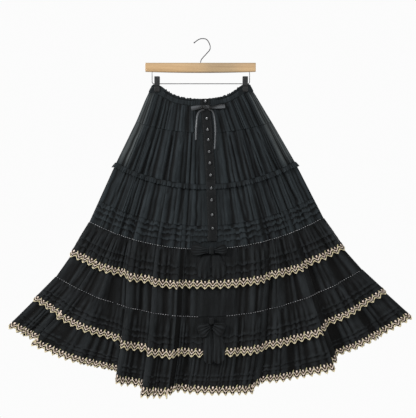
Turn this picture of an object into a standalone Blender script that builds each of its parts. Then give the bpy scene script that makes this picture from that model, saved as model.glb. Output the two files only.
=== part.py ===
"""A long tiered skirt, opened out flat and hung by two clips from a wooden skirt hanger.

Metres, +Z up, the front faces -Y. The origin is where a rail holds the hook: under the top of its wire.
The skirt is one flattened cone of cloth. A level says how far down a point lies: 0 is the waist,
8 the hem, and each whole number a row of SEAMS. A place says how far across it lies, from -1 at the
left side seam to 1 at the right one.
"""

import math

import bmesh
import bpy
import numpy as np
from mathutils import Matrix, Vector

# Cloth
WALL = 0.0015
GAP = 0.0003
SEAM_GAP = 0.0005
LOOSE_SEAM_GAP = 0.0008
LAP = WALL + 0.0004
SAG_ANGLE = math.radians(30)
RETURN_HALF_WIDTH = 0.006
FRONT = -1
BACK = 1
SIDES = (("front", FRONT), ("back", BACK))

# The rows where the skirt is sewn or ends, down from the waist, measured on the cloth that lies innermost
SEAM_COLUMNS = ("half_width", "middle_x", "left_z", "right_z", "middle_z", "half_depth", "fold_share")
SEAMS = {
    "waist": (0.155, -0.003, -0.150, -0.148, -0.190, 0.014, 0.00),
    "band": (0.166, -0.003, -0.177, -0.174, -0.213, 0.015, 0.00),
    "yoke": (0.214, 0.006, -0.262, -0.262, -0.298, 0.020, 0.05),
    "frill": (0.282, 0.011, -0.391, -0.388, -0.461, 0.026, 0.20),
    "stitch_1": (0.370, 0.014, -0.579, -0.566, -0.665, 0.032, 0.45),
    "hem_a": (0.433, 0.017, -0.687, -0.666, -0.788, 0.036, 0.60),
    "stitch_2": (0.483, 0.022, -0.751, -0.728, -0.875, 0.040, 0.70),
    "hem_b": (0.556, 0.025, -0.826, -0.802, -1.003, 0.044, 0.85),
    "hem_c": (0.644, 0.025, -0.913, -0.882, -1.109, 0.048, 1.00),
}
LEVEL = {name: number for number, name in enumerate(SEAMS)}

# The large folds: place at the first ladder stitch, place at the hem, the side that lies in front, depth
FOLD_COLUMNS = ("upper", "lower", "proud_side", "depth")
FOLDS = {
    FRONT: (
        (-0.82, -0.87, 1, 0.010),
        (-0.62, -0.45, 1, 0.015),
        (-0.42, -0.32, 1, 0.016),
        (-0.20, -0.19, -1, 0.013),
        (0.50, 0.22, -1, 0.016),
        (0.74, 0.61, -1, 0.014),
    ),
    BACK: (
        (-0.78, -0.66, 1, 0.013),
        (-0.52, -0.30, 1, 0.016),
        (-0.10, -0.05, 1, 0.012),
        (0.24, 0.18, -1, 0.016),
        (0.54, 0.46, -1, 0.015),
        (0.80, 0.85, -1, 0.010),
    ),
}
# How much lower than its arc each hem hangs at the left side, at both edges of each fold and at the right side
HEM_DROPS = {
    "a": (0, -3, 3, -4, 4, -3, 4, 4, -2, 4, -4, 4, -4, 0),
    "b": (0, -6, 6, -9, 9, 0, 12, 8, -4, 0, -6, 8, -10, 0),
    "c": (0, -16, 4, -26, 11, 6, 34, 24, 5, 17, -10, 17, -18, 0),
}
DROP_UNIT = 0.001
BACK_DROP_SHARE = 0.7

# Walls that hang from seam to seam: columns and waves of one side, levels, wave depth at the top and at the foot
TIER_COLUMNS = ("columns", "waves", "phase", "levels", "top_wave", "foot_wave")
TIERS = {
    "waistband": (42, 7, 0.0, (0.0, 0.35, 1.0), 0.0022, 0.0010),
    "yoke": (42, 14, 0.0, (1.0, 2.0), 0.0016, 0.0024),
    "tier_1": (42, 14, 0.0, (2.0, 3.0), 0.0024, 0.0040),
    "tier_2": (32, 16, 0.0, (3.0, 3.63), 0.0022, 0.0036),
    "tier_3": (48, 12, math.pi / 4, (4.0, 5.0, 6.0), 0.0036, 0.0060),
    "flounce_c": (48, 12, math.pi / 4, (6.0, 7.0, 7.74), 0.0060, 0.0080),
}
TUCK_LEVELS = (3.635, 3.66, 3.70, 3.745, 3.79, 3.83, 3.87, 4.0)
TUCK_HEIGHTS = (0.0, 0.003, 0.0, 0.003, 0.0, 0.003, 0.0, 0.0)
FRILL_DROP = 0.015
FRILL_SPREAD = 0.003
# Ruffles that hang free over a tier: top level, hem level, how far the hem stands off, wave added at the hem
RUFFLE_COLUMNS = ("tier", "top", "hem", "cloth_share", "stand_off", "more_wave")
RUFFLES = {
    "a": ("tier_3", 4.0, 5.0, 0.77, 0.009, 0.002),
    "b": ("flounce_c", 6.0, 7.0, 0.77, 0.010, 0.002),
}
# Zigzag points to two columns of cloth, and how much of the lace's height lies above the notches
LACE_POINTS = {"a": 1, "b": 1, "c": 2}
TOOTH_SHARE = 0.74

# The line down the middle of the front, height and x, which the placket, its buttons and the bows follow
AXIS_HEIGHTS = (-1.00, -0.68, -0.60, -0.43, -0.30, -0.19)
AXIS_X = (0.031, 0.030, 0.0335, 0.0268, 0.0185, 0.0095)
PLACKET_WIDTH = 0.030
PLACKET_ROWS = ((0.03, 1), (1.0, 1), (2.0, 1), (2.9, 1), (2.97, 2), (3.10, 2), (3.17, 1), (3.6, 1), (3.86, 1))
BOW_FLAT_HALF_WIDTH = 0.062

BUTTON_RADIUS = 0.0057
BUTTON_FACE_RADIUS = 0.0042
BUTTON_THICKNESS = 0.003
BUTTON_HEIGHTS = (
    -0.198, -0.2525, -0.288, -0.320, -0.357, -0.393, -0.431, -0.472, -0.509, -0.555, -0.597,
)

# Ribbon: the bow sits between the first two buttons
RIBBON_KNOT = (0.0145, -0.2165)
RIBBON_KNOT_SIZE = (0.020, 0.0075, 0.013)
RIBBON_LOOP_WIDTH = 0.014
RIBBON_LOOP_DEPTH = 0.006
RIBBON_LOOP_TIPS = {"left": (-0.033, -0.2185), "right": (0.072, -0.2135)}
RIBBON_STAND_OFF = 0.0048
TAIL_TUBE_RADIUS = 0.0015
RIBBON_TAIL_ROUTES = {
    "left": (
        (0.0080, -0.0225, -0.2252), (0.0025, -0.0240, -0.2264), (-0.0040, -0.0248, -0.2288),
        (-0.0100, -0.0252, -0.2335), (-0.0143, -0.0258, -0.2430), (-0.0163, -0.0262, -0.2560), (-0.0176, -0.0266, -0.2720),
        (-0.0186, -0.0270, -0.2890), (-0.0192, -0.0273, -0.3050), (-0.0194, -0.0276, -0.3200),
    ),
    "right": (
        (0.0215, -0.0225, -0.2252), (0.0268, -0.0240, -0.2264), (0.0320, -0.0250, -0.2296),
        (0.0358, -0.0257, -0.2375),
        (0.0386, -0.0264, -0.2500), (0.0405, -0.0270, -0.2650), (0.0418, -0.0275, -0.2800),
        (0.0420, -0.0279, -0.2970), (0.0412, -0.0283, -0.3150), (0.0402, -0.0287, -0.3330),
        (0.0396, -0.0291, -0.3490),
    ),
}

# Bows of the skirt's own cloth: knot, tips of the loops, and the corners of each tail in x and z
BOWS = {
    "bow_upper": {
        "knot": (0.0295, -0.667),
        "knot_size": (0.018, 0.014, 0.024),
        "loops": {
            "left": ((0.0198, -0.667), (-0.034, -0.664)),
            "right": ((0.0400, -0.667), (0.078, -0.661)),
        },
        "loop_width": 0.034,
        "tails": {
            "left": ((0.004, -0.6796), (0.0285, -0.6796), (-0.017, -0.752), (0.026, -0.756)),
            "right": ((0.0305, -0.6796), (0.055, -0.6796), (0.031, -0.757), (0.074, -0.750)),
        },
    },
    "bow_lower": {
        "knot": (0.0300, -0.886),
        "knot_size": (0.016, 0.014, 0.022),
        "loops": {
            "left": ((0.0253, -0.9000), (-0.010, -0.930)),
            "right": ((0.0350, -0.9000), (0.068, -0.926)),
        },
        "loop_width": 0.032,
        "tails": {
            "left": ((0.016, -0.8976), (0.0292, -0.8976), (0.008, -1.012), (0.034, -1.020)),
            "right": ((0.0308, -0.8976), (0.045, -0.8976), (0.038, -1.019), (0.066, -1.012)),
        },
    },
}
BOW_LOOP_DEPTH = 0.011
KNOT_ROUNDING = 0.0025
LOOP_ROOT_SHARE = 0.45
BOW_TAIL_LIFT = LAP + 0.0006
BOW_TAIL_RIPPLE = 0.003

# Hanger
BAR_LEFT = -0.179
BAR_RIGHT = 0.170
BAR_TOP = -0.0755
BAR_FOOT = -0.1033
BAR_BOW = 0.0032
BAR_THICKNESS = 0.012
BAR_EDGE = 0.0018
HOOK_RADIUS = 0.0015
HOOK_ROUTE = (
    (-0.0262, -0.0130), (-0.0202, -0.0082), (-0.0101, -0.0012), (0.0, HOOK_RADIUS), (0.0130, -0.0004),
    (0.0212, -0.0098), (0.0262, -0.0240), (0.0243, -0.0341), (0.0161, -0.0442), (0.0060, -0.0553),
    (-0.0009, -0.0632), (-0.0041, -0.0705), (-0.0043, -0.0790), (-0.0043, -0.0900),
)
HOOK_BEAD = 1.6
HOOK_SHANK_X = -0.0043
WIRE_RADIUS = 0.00125
WIRE_LEFT = -0.1577
WIRE_RIGHT = 0.1504
WIRE_ROD_Z = -0.1412
WIRE_CORNER = 0.006
WIRE_DEPTH_IN_BAR = 0.014
CLIP_X = {"left": -0.1418, "right": 0.1366}
CLIP_WIDTH = 0.0172
CLIP_TOP = -0.1185
CLIP_NECK = -0.1455
CLIP_FOOT = -0.1675
CLIP_TOP_HALF_DEPTH = 0.0080
CLIP_NECK_HALF_DEPTH = 0.0062
CLIP_JAW = 0.0026

CLOTH_BLACK = (0.016, 0.019, 0.020, 1)
LACE_GOLD = (0.42, 0.36, 0.22, 1)
RIBBON_GREY = (0.075, 0.082, 0.090, 1)
BUTTON_BLACK = (0.012, 0.013, 0.015, 1)
WOOD_BEECH = (0.66, 0.44, 0.25, 1)
WIRE_STEEL = (0.52, 0.52, 0.53, 1)
CLIP_BLACK = (0.020, 0.021, 0.022, 1)


def clear_scene():
    for thing in list(bpy.data.objects):
        bpy.data.objects.remove(thing, do_unlink=True)


def new_collection(name):
    collection = bpy.data.collections.new(name)
    bpy.context.scene.collection.children.link(collection)
    return collection


def paint(thing, colour, roughness, metallic=0.0):
    material = bpy.data.materials.new(thing.name)
    material.use_nodes = True
    shader = material.node_tree.nodes["Principled BSDF"]
    shader.inputs["Base Color"].default_value = colour
    shader.inputs["Roughness"].default_value = roughness
    shader.inputs["Metallic"].default_value = metallic
    thing.data.materials.append(material)


def add_mesh(name, bm, collection, colour, roughness, metallic=0.0):
    mesh = bpy.data.meshes.new(name)
    bm.to_mesh(mesh)
    bm.free()
    thing = bpy.data.objects.new(name, mesh)
    collection.objects.link(thing)
    paint(thing, colour, roughness, metallic)
    return thing


# Shape of the skirt


def sizes_at(level):
    """The columns of SEAMS at any level, on a straight line between two rows and past the last."""
    rows = np.array(list(SEAMS.values()))
    number = min(int(level), len(rows) - 2)
    return dict(zip(SEAM_COLUMNS, rows[number] + (rows[number + 1] - rows[number]) * (level - number)))


def even_places(columns):
    """Places of columns that are the same distance apart round a flattened half ring."""
    angle = np.linspace(0, math.pi, 2001)
    flatness = SEAMS["stitch_1"][5] / SEAMS["stitch_1"][0]
    step = np.hypot(np.diff(np.cos(angle)), flatness * np.diff(np.sin(angle)))
    travelled = np.concatenate([[0], np.cumsum(step)])
    return -np.cos(np.interp(np.linspace(0, travelled[-1], columns + 1), travelled, angle))


def fold_knots(columns, side, level):
    """Where the folds' edges lie: even place, real place and depth of each."""
    even = even_places(columns)
    sizes = sizes_at(level)
    share = sizes["fold_share"]
    down = min(max((level - LEVEL["stitch_1"]) / (LEVEL["hem_c"] - LEVEL["stitch_1"]), 0), 1)
    knots = [(-1.0, -1.0, 0.0)]
    for upper, lower, proud_side, depth in FOLDS[side]:
        column = int(np.argmin(np.abs(even - (upper + lower) / 2)))
        plain = (even[column + 1] - even[column]) / 2
        half = (1 - share) * plain + share * RETURN_HALF_WIDTH / sizes["half_width"]
        place = upper + (lower - upper) * down
        proud = 0.55 * depth * share
        sunk = -0.45 * depth * share
        left, right = (sunk, proud) if proud_side > 0 else (proud, sunk)
        knots.append((even[column], place - half, left))
        knots.append((even[column + 1], place + half, right))
    knots.append((1.0, 1.0, 0.0))
    return np.array(knots).T


def across(columns, side, level):
    """Place and fold depth of each column at a level."""
    even_knots, places, depths = fold_knots(columns, side, level)
    even = even_places(columns)
    return np.interp(even, even_knots, places), np.interp(even, even_knots, depths)


def outward(place, level, side):
    """Level direction that points out of the flattened ring."""
    sizes = sizes_at(level)
    flat = math.sqrt(max(1 - place * place, 0))
    direction = Vector((place / sizes["half_width"], side * flat / sizes["half_depth"]))
    return direction.normalized()


def skirt_point(place, level, side, out=0.0):
    """A point of the innermost cloth, moved out by a distance."""
    sizes = sizes_at(level)
    flat = math.sqrt(max(1 - place * place, 0))
    arc = math.sqrt(1 - (place * math.sin(SAG_ANGLE)) ** 2) - math.cos(SAG_ANGLE)
    arc /= 1 - math.cos(SAG_ANGLE)
    left, right = sizes["left_z"], sizes["right_z"]
    z = left + (right - left) * (place + 1) / 2 + (sizes["middle_z"] - (left + right) / 2) * arc
    direction = outward(place, level, side)
    x = sizes["middle_x"] + sizes["half_width"] * place + direction.x * out
    y = side * max(sizes["half_depth"] * flat, GAP / 2) + direction.y * out
    return Vector((x, y, z))


def axis_x(z):
    return float(np.interp(z, AXIS_HEIGHTS, AXIS_X))


def smooth(value):
    value = min(max(value, 0.0), 1.0)
    return value * value * (3 - 2 * value)


def calm(name, point, side, spacing):
    """0 where a wave must lie flat, under the placket, a bow or a clip, and 1 elsewhere."""
    if name == "waistband":
        near = min(abs(point.x - x) for x in CLIP_X.values())
        wave = smooth((near - 0.013) / 0.015)
    else:
        wave = 1.0
    if side == BACK:
        return wave
    flat = BOW_FLAT_HALF_WIDTH if point.z < -0.60 else PLACKET_WIDTH / 2 + spacing + 0.002
    return wave * smooth((abs(point.x - axis_x(point.z)) - flat) / 0.02)


def wave_height(columns, column, waves, phase):
    """A wave that dies out in the three columns next to a side seam."""
    edge = min(column, columns - column)
    return math.cos(2 * math.pi * waves * column / columns + phase) * min(edge / 3, 1.0)


def tier_row(name, side, levels, add=0.0):
    """The middle of a tier's wall at one level for each column."""
    columns, waves, phase, span, top_wave, foot_wave = TIERS[name]
    points = []
    for column, level in enumerate(levels):
        places, depths = across(columns, side, level)
        place, depth = places[column], depths[column]
        down = (level - span[0]) / (span[-1] - span[0])
        height = (top_wave + (foot_wave - top_wave) * down) * wave_height(columns, column, waves, phase)
        still = skirt_point(place, level, side)
        spacing = 2 * sizes_at(level)["half_width"] / columns
        quiet = calm(name, still, side, spacing)
        ends = 0.0 if column in (0, columns) else 1.0
        points.append(skirt_point(place, level, side, ends * (depth + height * quiet + add * quiet)))
    return points


def mitres(points, side):
    """Level directions square to the row at each point, long enough to keep a wall's thickness in its corners."""
    flat = [Vector(point.xy) for point in points]
    result = []
    for number, here in enumerate(flat):
        if number in (0, len(flat) - 1):
            result.append(Vector((-1.0 if number == 0 else 1.0, 0.0)))
            continue
        before = (here - flat[number - 1]).normalized()
        after = (flat[number + 1] - here).normalized()
        along = (before + after).normalized()
        across_row = Vector((-along.y, along.x)) * side
        result.append(across_row / max(along.dot(before), 0.72))
    return result


def move_out(points, side, distance):
    return [
        point + Vector((mitre.x, mitre.y, 0)) * distance
        for point, mitre in zip(points, mitres(points, side))
    ]


def wall(name, rows, side, collection, colour=CLOTH_BLACK, roughness=0.9):
    """A closed wall of cloth round a grid of points: each row runs from the left to the right."""
    columns = len(rows[0]) - 1
    bm = bmesh.new()
    bmesh.ops.create_grid(bm, x_segments=columns, y_segments=len(rows) - 1, size=1.0)
    outer = [move_out(row, side, WALL / 2) for row in rows]
    inner = [move_out(row, side, -WALL / 2) for row in rows]
    seats = {}
    for vertex in bm.verts:
        column = round((vertex.co.x + 1) / 2 * columns)
        row = round((vertex.co.y + 1) / 2 * (len(rows) - 1))
        seats[vertex] = (row, column)
    first = list(bm.verts)
    made = bmesh.ops.extrude_face_region(bm, geom=list(bm.faces), use_keep_orig=True)
    second = [item for item in made["geom"] if isinstance(item, bmesh.types.BMVert)]
    places = {tuple(vertex.co): seats[vertex] for vertex in first}
    for vertex in second:
        row, column = places[tuple(vertex.co)]
        vertex.co = inner[row][column]
    for vertex in first:
        row, column = seats[vertex]
        vertex.co = outer[row][column]
    bmesh.ops.recalc_face_normals(bm, faces=bm.faces)
    return add_mesh(name, bm, collection, colour, roughness)


def level_step(level, distance):
    """The change of level that goes a distance down the cloth."""
    number = min(int(level), len(SEAMS) - 2)
    length = (skirt_point(0, number, FRONT) - skirt_point(0, number + 1, FRONT)).length
    return distance / length


def hem_levels(columns, side, level, drops):
    """The level of a hem at each column, with its steps at the folds."""
    even_knots, _, _ = fold_knots(columns, side, level)
    values = np.array(drops) if side == FRONT else BACK_DROP_SHARE * np.array(drops[::-1])
    drop = np.interp(even_places(columns), even_knots, values * DROP_UNIT)
    result = []
    for column, distance in enumerate(drop):
        place = across(columns, side, level)[0][column]
        top = skirt_point(place, level - 1, side)
        foot = skirt_point(place, level, side)
        result.append(level + distance / (foot - top).length)
    return np.array(result)


def lace_wall(letter, side_name, side, top, foot, collection):
    """A strip of lace with a zigzag foot, on the points of the cloth that it is sewn to."""
    points = LACE_POINTS[letter]
    samples = np.arange(points * (len(top) - 1) + 1) / points
    upper, lower = [], []
    for number, sample in enumerate(samples):
        column = min(int(sample), len(top) - 2)
        share = sample - column
        above = top[column].lerp(top[column + 1], share)
        below = foot[column].lerp(foot[column + 1], share)
        upper.append(above)
        lower.append(above.lerp(below, 1.0 if number % 2 else TOOTH_SHARE))
    wall(f"lace_{letter}_{side_name}", [upper, lower], side, collection, LACE_GOLD, 0.8)


def build_tiers(collection):
    for name in ("waistband", "yoke", "tier_1", "tier_2", "tier_3"):
        columns, _, _, span, _, _ = TIERS[name]
        for side_name, side in SIDES:
            loose_top = name in ("tier_2", "tier_3")
            top_gap = LOOSE_SEAM_GAP if loose_top else SEAM_GAP
            foot_gap = LOOSE_SEAM_GAP if name in ("tier_1", "tier_3") else SEAM_GAP
            levels = list(span)
            levels[0] += level_step(span[0], top_gap / 2)
            levels[-1] -= level_step(span[-1] - 0.5, foot_gap / 2)
            rows = [tier_row(name, side, [level] * (columns + 1)) for level in levels]
            wall(f"{name}_{side_name}", rows, side, collection)


def build_tucks(collection):
    columns = TIERS["tier_2"][0]
    last = len(TUCK_LEVELS) - 1
    for side_name, side in SIDES:
        rows = []
        for number, (level, height) in enumerate(zip(TUCK_LEVELS, TUCK_HEIGHTS)):
            lift = level_step(level - 0.01, LOOSE_SEAM_GAP / 2) if number == last else 0.0
            rows.append(tier_row("tier_2", side, [level - lift] * (columns + 1), add=height))
        wall(f"tuck_band_{side_name}", rows, side, collection)


def build_frill(collection):
    columns = TIERS["tier_2"][0]
    top = LEVEL["frill"] + level_step(LEVEL["frill"], LOOSE_SEAM_GAP)
    foot = LEVEL["frill"] + level_step(LEVEL["frill"], FRILL_DROP)
    for side_name, side in SIDES:
        rows = []
        for level, spread in ((top, 0.0), (foot, FRILL_SPREAD)):
            row = tier_row("tier_2", side, [level] * (columns + 1), add=spread)
            rows.append(move_out(row, side, LAP))
        wall(f"frill_1_{side_name}", rows, side, collection)


def ruffle_row(letter, side, share):
    """A row of a free ruffle, its share of the way from its seam to its hem."""
    tier, top, hem, _, stand_off, more_wave = RUFFLES[letter]
    columns, waves, phase = TIERS[tier][:3]
    start = top + level_step(top, SEAM_GAP)
    levels = start + share * (hem_levels(columns, side, hem, HEM_DROPS[letter]) - start)
    row = move_out(tier_row(tier, side, levels), side, LAP)
    result = []
    for column, point in enumerate(row):
        level = levels[column]
        direction = outward(across(columns, side, level)[0][column], level, side)
        spacing = 2 * sizes_at(level)["half_width"] / columns
        quiet = calm("ruffle", point, side, spacing)
        off = share * (stand_off + more_wave * quiet * wave_height(columns, column, waves, phase))
        edge = min(column, columns - column)
        off *= 0.4 + 0.6 * min(edge / 4, 1.0)
        result.append(point + Vector((direction.x * off, direction.y * off, 0)))
    return result


def build_ruffles(collection):
    for letter, (_, _, hem, cloth_share, _, _) in RUFFLES.items():
        for side_name, side in SIDES:
            rows = [ruffle_row(letter, side, share) for share in (0.0, cloth_share)]
            wall(f"ruffle_{letter}_{side_name}", rows, side, collection)
            top = ruffle_row(letter, side, cloth_share + level_step(hem, LOOSE_SEAM_GAP))
            foot = ruffle_row(letter, side, 1.0)
            lace_wall(letter, side_name, side, top, foot, collection)


def build_flounce(collection):
    columns, _, _, span, _, _ = TIERS["flounce_c"]
    start = span[0] + level_step(span[0], LOOSE_SEAM_GAP / 2)
    share = span[2] - span[1]
    for side_name, side in SIDES:
        hem = hem_levels(columns, side, LEVEL["hem_c"], HEM_DROPS["c"])
        foot = span[1] + share * (hem - span[1])
        lace_top = foot + level_step(span[1], LOOSE_SEAM_GAP)
        rows = [tier_row("flounce_c", side, levels) for levels in (
            [start] * (columns + 1), [span[1]] * (columns + 1), foot,
        )]
        wall(f"flounce_c_{side_name}", rows, side, collection)
        ends = [tier_row("flounce_c", side, levels) for levels in (lace_top, hem)]
        lace_wall("c", side_name, side, ends[0], ends[1], collection)


# Trim down the middle of the front


def middle_level(z):
    """The level at a height on the middle of the front."""
    heights = [row[4] for row in SEAMS.values()]
    return float(np.interp(-z, [-height for height in heights], range(len(heights))))


def front_y(x, z):
    """Where the innermost cloth of the front lies, near its middle."""
    level = middle_level(z)
    sizes = sizes_at(level)
    place = (x - sizes["middle_x"]) / sizes["half_width"]
    _, places, depths = fold_knots(TIERS["tier_3"][0], FRONT, level)
    return skirt_point(place, level, FRONT).y - float(np.interp(place, places, depths))


def placket_lift(z):
    level = middle_level(z)
    laps = np.interp(level, [row[0] for row in PLACKET_ROWS], [row[1] for row in PLACKET_ROWS])
    return float(laps) * LAP


def build_placket(collection):
    heights = [row[4] for row in SEAMS.values()]
    rows = []
    for level, laps in PLACKET_ROWS:
        z = float(np.interp(level, range(len(heights)), heights))
        middle = axis_x(z)
        row = []
        for share in (-0.5, -0.2, 0.2, 0.5):
            x = middle + share * PLACKET_WIDTH
            row.append(Vector((x, front_y(x, z) - laps * LAP, z)))
        rows.append(row)
    wall("placket", rows, FRONT, collection, CLOTH_BLACK, 0.85)


def build_buttons(collection):
    for number, z in enumerate(BUTTON_HEIGHTS, start=1):
        x = axis_x(z)
        lift = max(placket_lift(z + step) for step in (-BUTTON_RADIUS, 0, BUTTON_RADIUS))
        ground = min(front_y(x, z + step) for step in (-BUTTON_RADIUS, BUTTON_RADIUS))
        y = ground - lift - WALL / 2 - GAP - BUTTON_THICKNESS / 2
        bm = bmesh.new()
        bmesh.ops.create_cone(
            bm, cap_ends=True, segments=14, radius1=BUTTON_RADIUS, radius2=BUTTON_FACE_RADIUS,
            depth=BUTTON_THICKNESS,
        )
        turn = Matrix.Translation((x, y, z)) @ Matrix.Rotation(math.pi / 2, 4, "X")
        bmesh.ops.transform(bm, matrix=turn, verts=bm.verts)
        add_mesh(f"button_{number:02d}", bm, collection, BUTTON_BLACK, 0.18)


def build_knot(name, x, z, back_y, size, collection, colour, roughness):
    """A soft knot: a box with its edges rounded right off, its back at back_y."""
    bm = bmesh.new()
    bmesh.ops.create_cube(bm, size=1.0)
    bmesh.ops.scale(bm, vec=size, verts=bm.verts)
    bmesh.ops.bevel(
        bm, geom=list(bm.edges), offset=KNOT_ROUNDING, segments=2, affect="EDGES", profile=0.5,
    )
    bmesh.ops.translate(bm, vec=(x, back_y - size[1] / 2, z), verts=bm.verts)
    add_mesh(name, bm, collection, colour, roughness)


def build_loop(name, root, tip, width, backs, depth, collection, colour, roughness):
    """A band that runs out from a knot to its tip and back. backs: the y behind it at its root and at its tip."""
    start, end = Vector((root[0], 0, root[1])), Vector((tip[0], 0, tip[1]))
    reach = end - start
    along = reach.normalized()
    beside = Vector((-along.z, 0, along.x)) * (width / 2)
    steps = 12
    rings = []
    for number in range(steps):
        turn = 2 * math.pi * number / steps
        out = (1 - math.cos(turn)) / 2
        swell = math.sin(turn) * math.sin(math.pi * (0.12 + 0.76 * out)) * 1.02
        back_y = backs[0] + (backs[1] - backs[0]) * out
        rings.append((start + reach * out, back_y, swell, LOOP_ROOT_SHARE + (1 - LOOP_ROOT_SHARE) * out))
    bm = bmesh.new()
    sheets = []
    for inset in (0.0, WALL):
        sheet = []
        for middle, back_y, swell, spread in rings:
            y = back_y - depth / 2 + swell * (depth / 2 - inset)
            shift = along * inset * (1 if middle.dot(along) < (start + reach / 2).dot(along) else -1)
            base = Vector((middle.x, y, middle.z)) + shift
            sheet.append([bm.verts.new(base + beside * spread * edge) for edge in (-1, 1)])
        sheets.append(sheet)
    for number in range(steps):
        after = (number + 1) % steps
        (a, b), (c, d) = sheets[0][number], sheets[0][after]
        (e, f), (g, h) = sheets[1][number], sheets[1][after]
        for corners in ((a, b, d, c), (e, g, h, f), (a, c, g, e), (b, f, h, d)):
            bm.faces.new(corners)
    bmesh.ops.recalc_face_normals(bm, faces=bm.faces)
    add_mesh(name, bm, collection, colour, roughness)


def build_ribbon(collection):
    knot_x, knot_z = RIBBON_KNOT
    width = RIBBON_KNOT_SIZE[0]
    back = front_y(knot_x, knot_z) - placket_lift(knot_z) - WALL / 2 - GAP
    build_knot("ribbon_knot", knot_x, knot_z, back, RIBBON_KNOT_SIZE, collection, RIBBON_GREY, 0.35)
    for name, tip in RIBBON_LOOP_TIPS.items():
        way = -1 if name == "left" else 1
        root = (knot_x + way * (width / 2 + GAP), knot_z)
        backs = (front_y(knot_x, knot_z) - RIBBON_STAND_OFF,) * 2
        build_loop(
            f"ribbon_loop_{name}", root, tip, RIBBON_LOOP_WIDTH, backs, RIBBON_LOOP_DEPTH,
            collection, RIBBON_GREY, 0.35,
        )
    for name, route in RIBBON_TAIL_ROUTES.items():
        tube = add_tube(f"ribbon_tail_{name}", smooth_route(route, 1), TAIL_TUBE_RADIUS, collection)
        paint(tube, RIBBON_GREY, 0.35)


def ruffle_front_y(letter, x, z):
    """The middle of a free ruffle's wall near the middle of the front."""
    _, top, hem, _, stand_off, _ = RUFFLES[letter]
    share = min(max((middle_level(z) - top) / (hem - top), 0), 1)
    return front_y(x, z) - LAP - share * stand_off


def build_bows(collection):
    for letter, (name, bow) in zip("ab", BOWS.items()):
        knot_x, knot_z = bow["knot"]
        height = bow["knot_size"][2]
        back = ruffle_front_y(letter, knot_x, knot_z - height / 2) - WALL / 2 - GAP
        build_knot(f"{name}_knot", knot_x, knot_z, back, bow["knot_size"], collection, CLOTH_BLACK, 0.9)
        for side_name, (root, tip) in bow["loops"].items():
            lift = BOW_TAIL_LIFT + BOW_TAIL_RIPPLE / 2 + WALL / 2 + GAP
            foot = bow["loop_width"] / 2
            backs = [ruffle_front_y(letter, x, z - foot) - lift for x, z in (root, tip)]
            build_loop(
                f"{name}_loop_{side_name}", root, tip, bow["loop_width"], backs, BOW_LOOP_DEPTH,
                collection, CLOTH_BLACK, 0.9,
            )
        for side_name, corners in bow["tails"].items():
            top_left, top_right, foot_left, foot_right = (Vector(corner) for corner in corners)
            rows = []
            for down in (0.0, 0.5, 1.0):
                row = []
                for share in np.linspace(0, 1, 5):
                    spot = top_left.lerp(top_right, share).lerp(foot_left.lerp(foot_right, share), down)
                    ripple = BOW_TAIL_RIPPLE * down * math.sin(2 * math.pi * share) ** 2
                    y = ruffle_front_y(letter, spot.x, spot.y) - BOW_TAIL_LIFT - ripple
                    row.append(Vector((spot.x, y, spot.y)))
                rows.append(row)
            wall(f"{name}_tail_{side_name}", rows, FRONT, collection)


# Hanger


def smooth_route(points, steps):
    """Points read from a smooth curve through a route's own points."""
    way = [Vector(point) for point in points]
    padded = [2 * way[0] - way[1], *way, 2 * way[-1] - way[-2]]
    result = []
    for number in range(len(way) - 1):
        a, b, c, d = padded[number : number + 4]
        for step in range(steps):
            t = step / steps
            result.append(
                0.5 * (2 * b + (c - a) * t + (2 * a - 5 * b + 4 * c - d) * t * t
                       + (3 * b - a - 3 * c + d) * t ** 3)
            )
    return [*result, way[-1]]


def add_tube(name, points, radius, collection, radii=None):
    curve = bpy.data.curves.new(name, "CURVE")
    curve.dimensions = "3D"
    curve.bevel_depth = radius
    curve.bevel_resolution = 2
    curve.use_fill_caps = True
    spline = curve.splines.new("POLY")
    spline.points.add(len(points) - 1)
    for number, point in enumerate(points):
        spline.points[number].co = (*point, 1)
        spline.points[number].radius = radii[number] if radii else 1.0
    thing = bpy.data.objects.new(name, curve)
    collection.objects.link(thing)
    return thing


def add_cutter(name, points, radius, cutters):
    """A round cutter along a straight line between two points."""
    start, end = (Vector(point) for point in points)
    bm = bmesh.new()
    bmesh.ops.create_cone(
        bm, cap_ends=True, segments=12, radius1=radius, radius2=radius, depth=(end - start).length,
    )
    turn = (end - start).to_track_quat("Z", "Y").to_matrix().to_4x4()
    bmesh.ops.transform(bm, matrix=Matrix.Translation((start + end) / 2) @ turn, verts=bm.verts)
    mesh = bpy.data.meshes.new(name)
    bm.to_mesh(mesh)
    bm.free()
    cutter = bpy.data.objects.new(name, mesh)
    cutter.hide_render = True
    cutter.display_type = "WIRE"
    cutters.objects.link(cutter)
    return cutter


def cut(thing, cutter):
    boolean = thing.modifiers.new(cutter.name, "BOOLEAN")
    boolean.operation = "DIFFERENCE"
    boolean.solver = "EXACT"
    boolean.object = cutter


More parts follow.
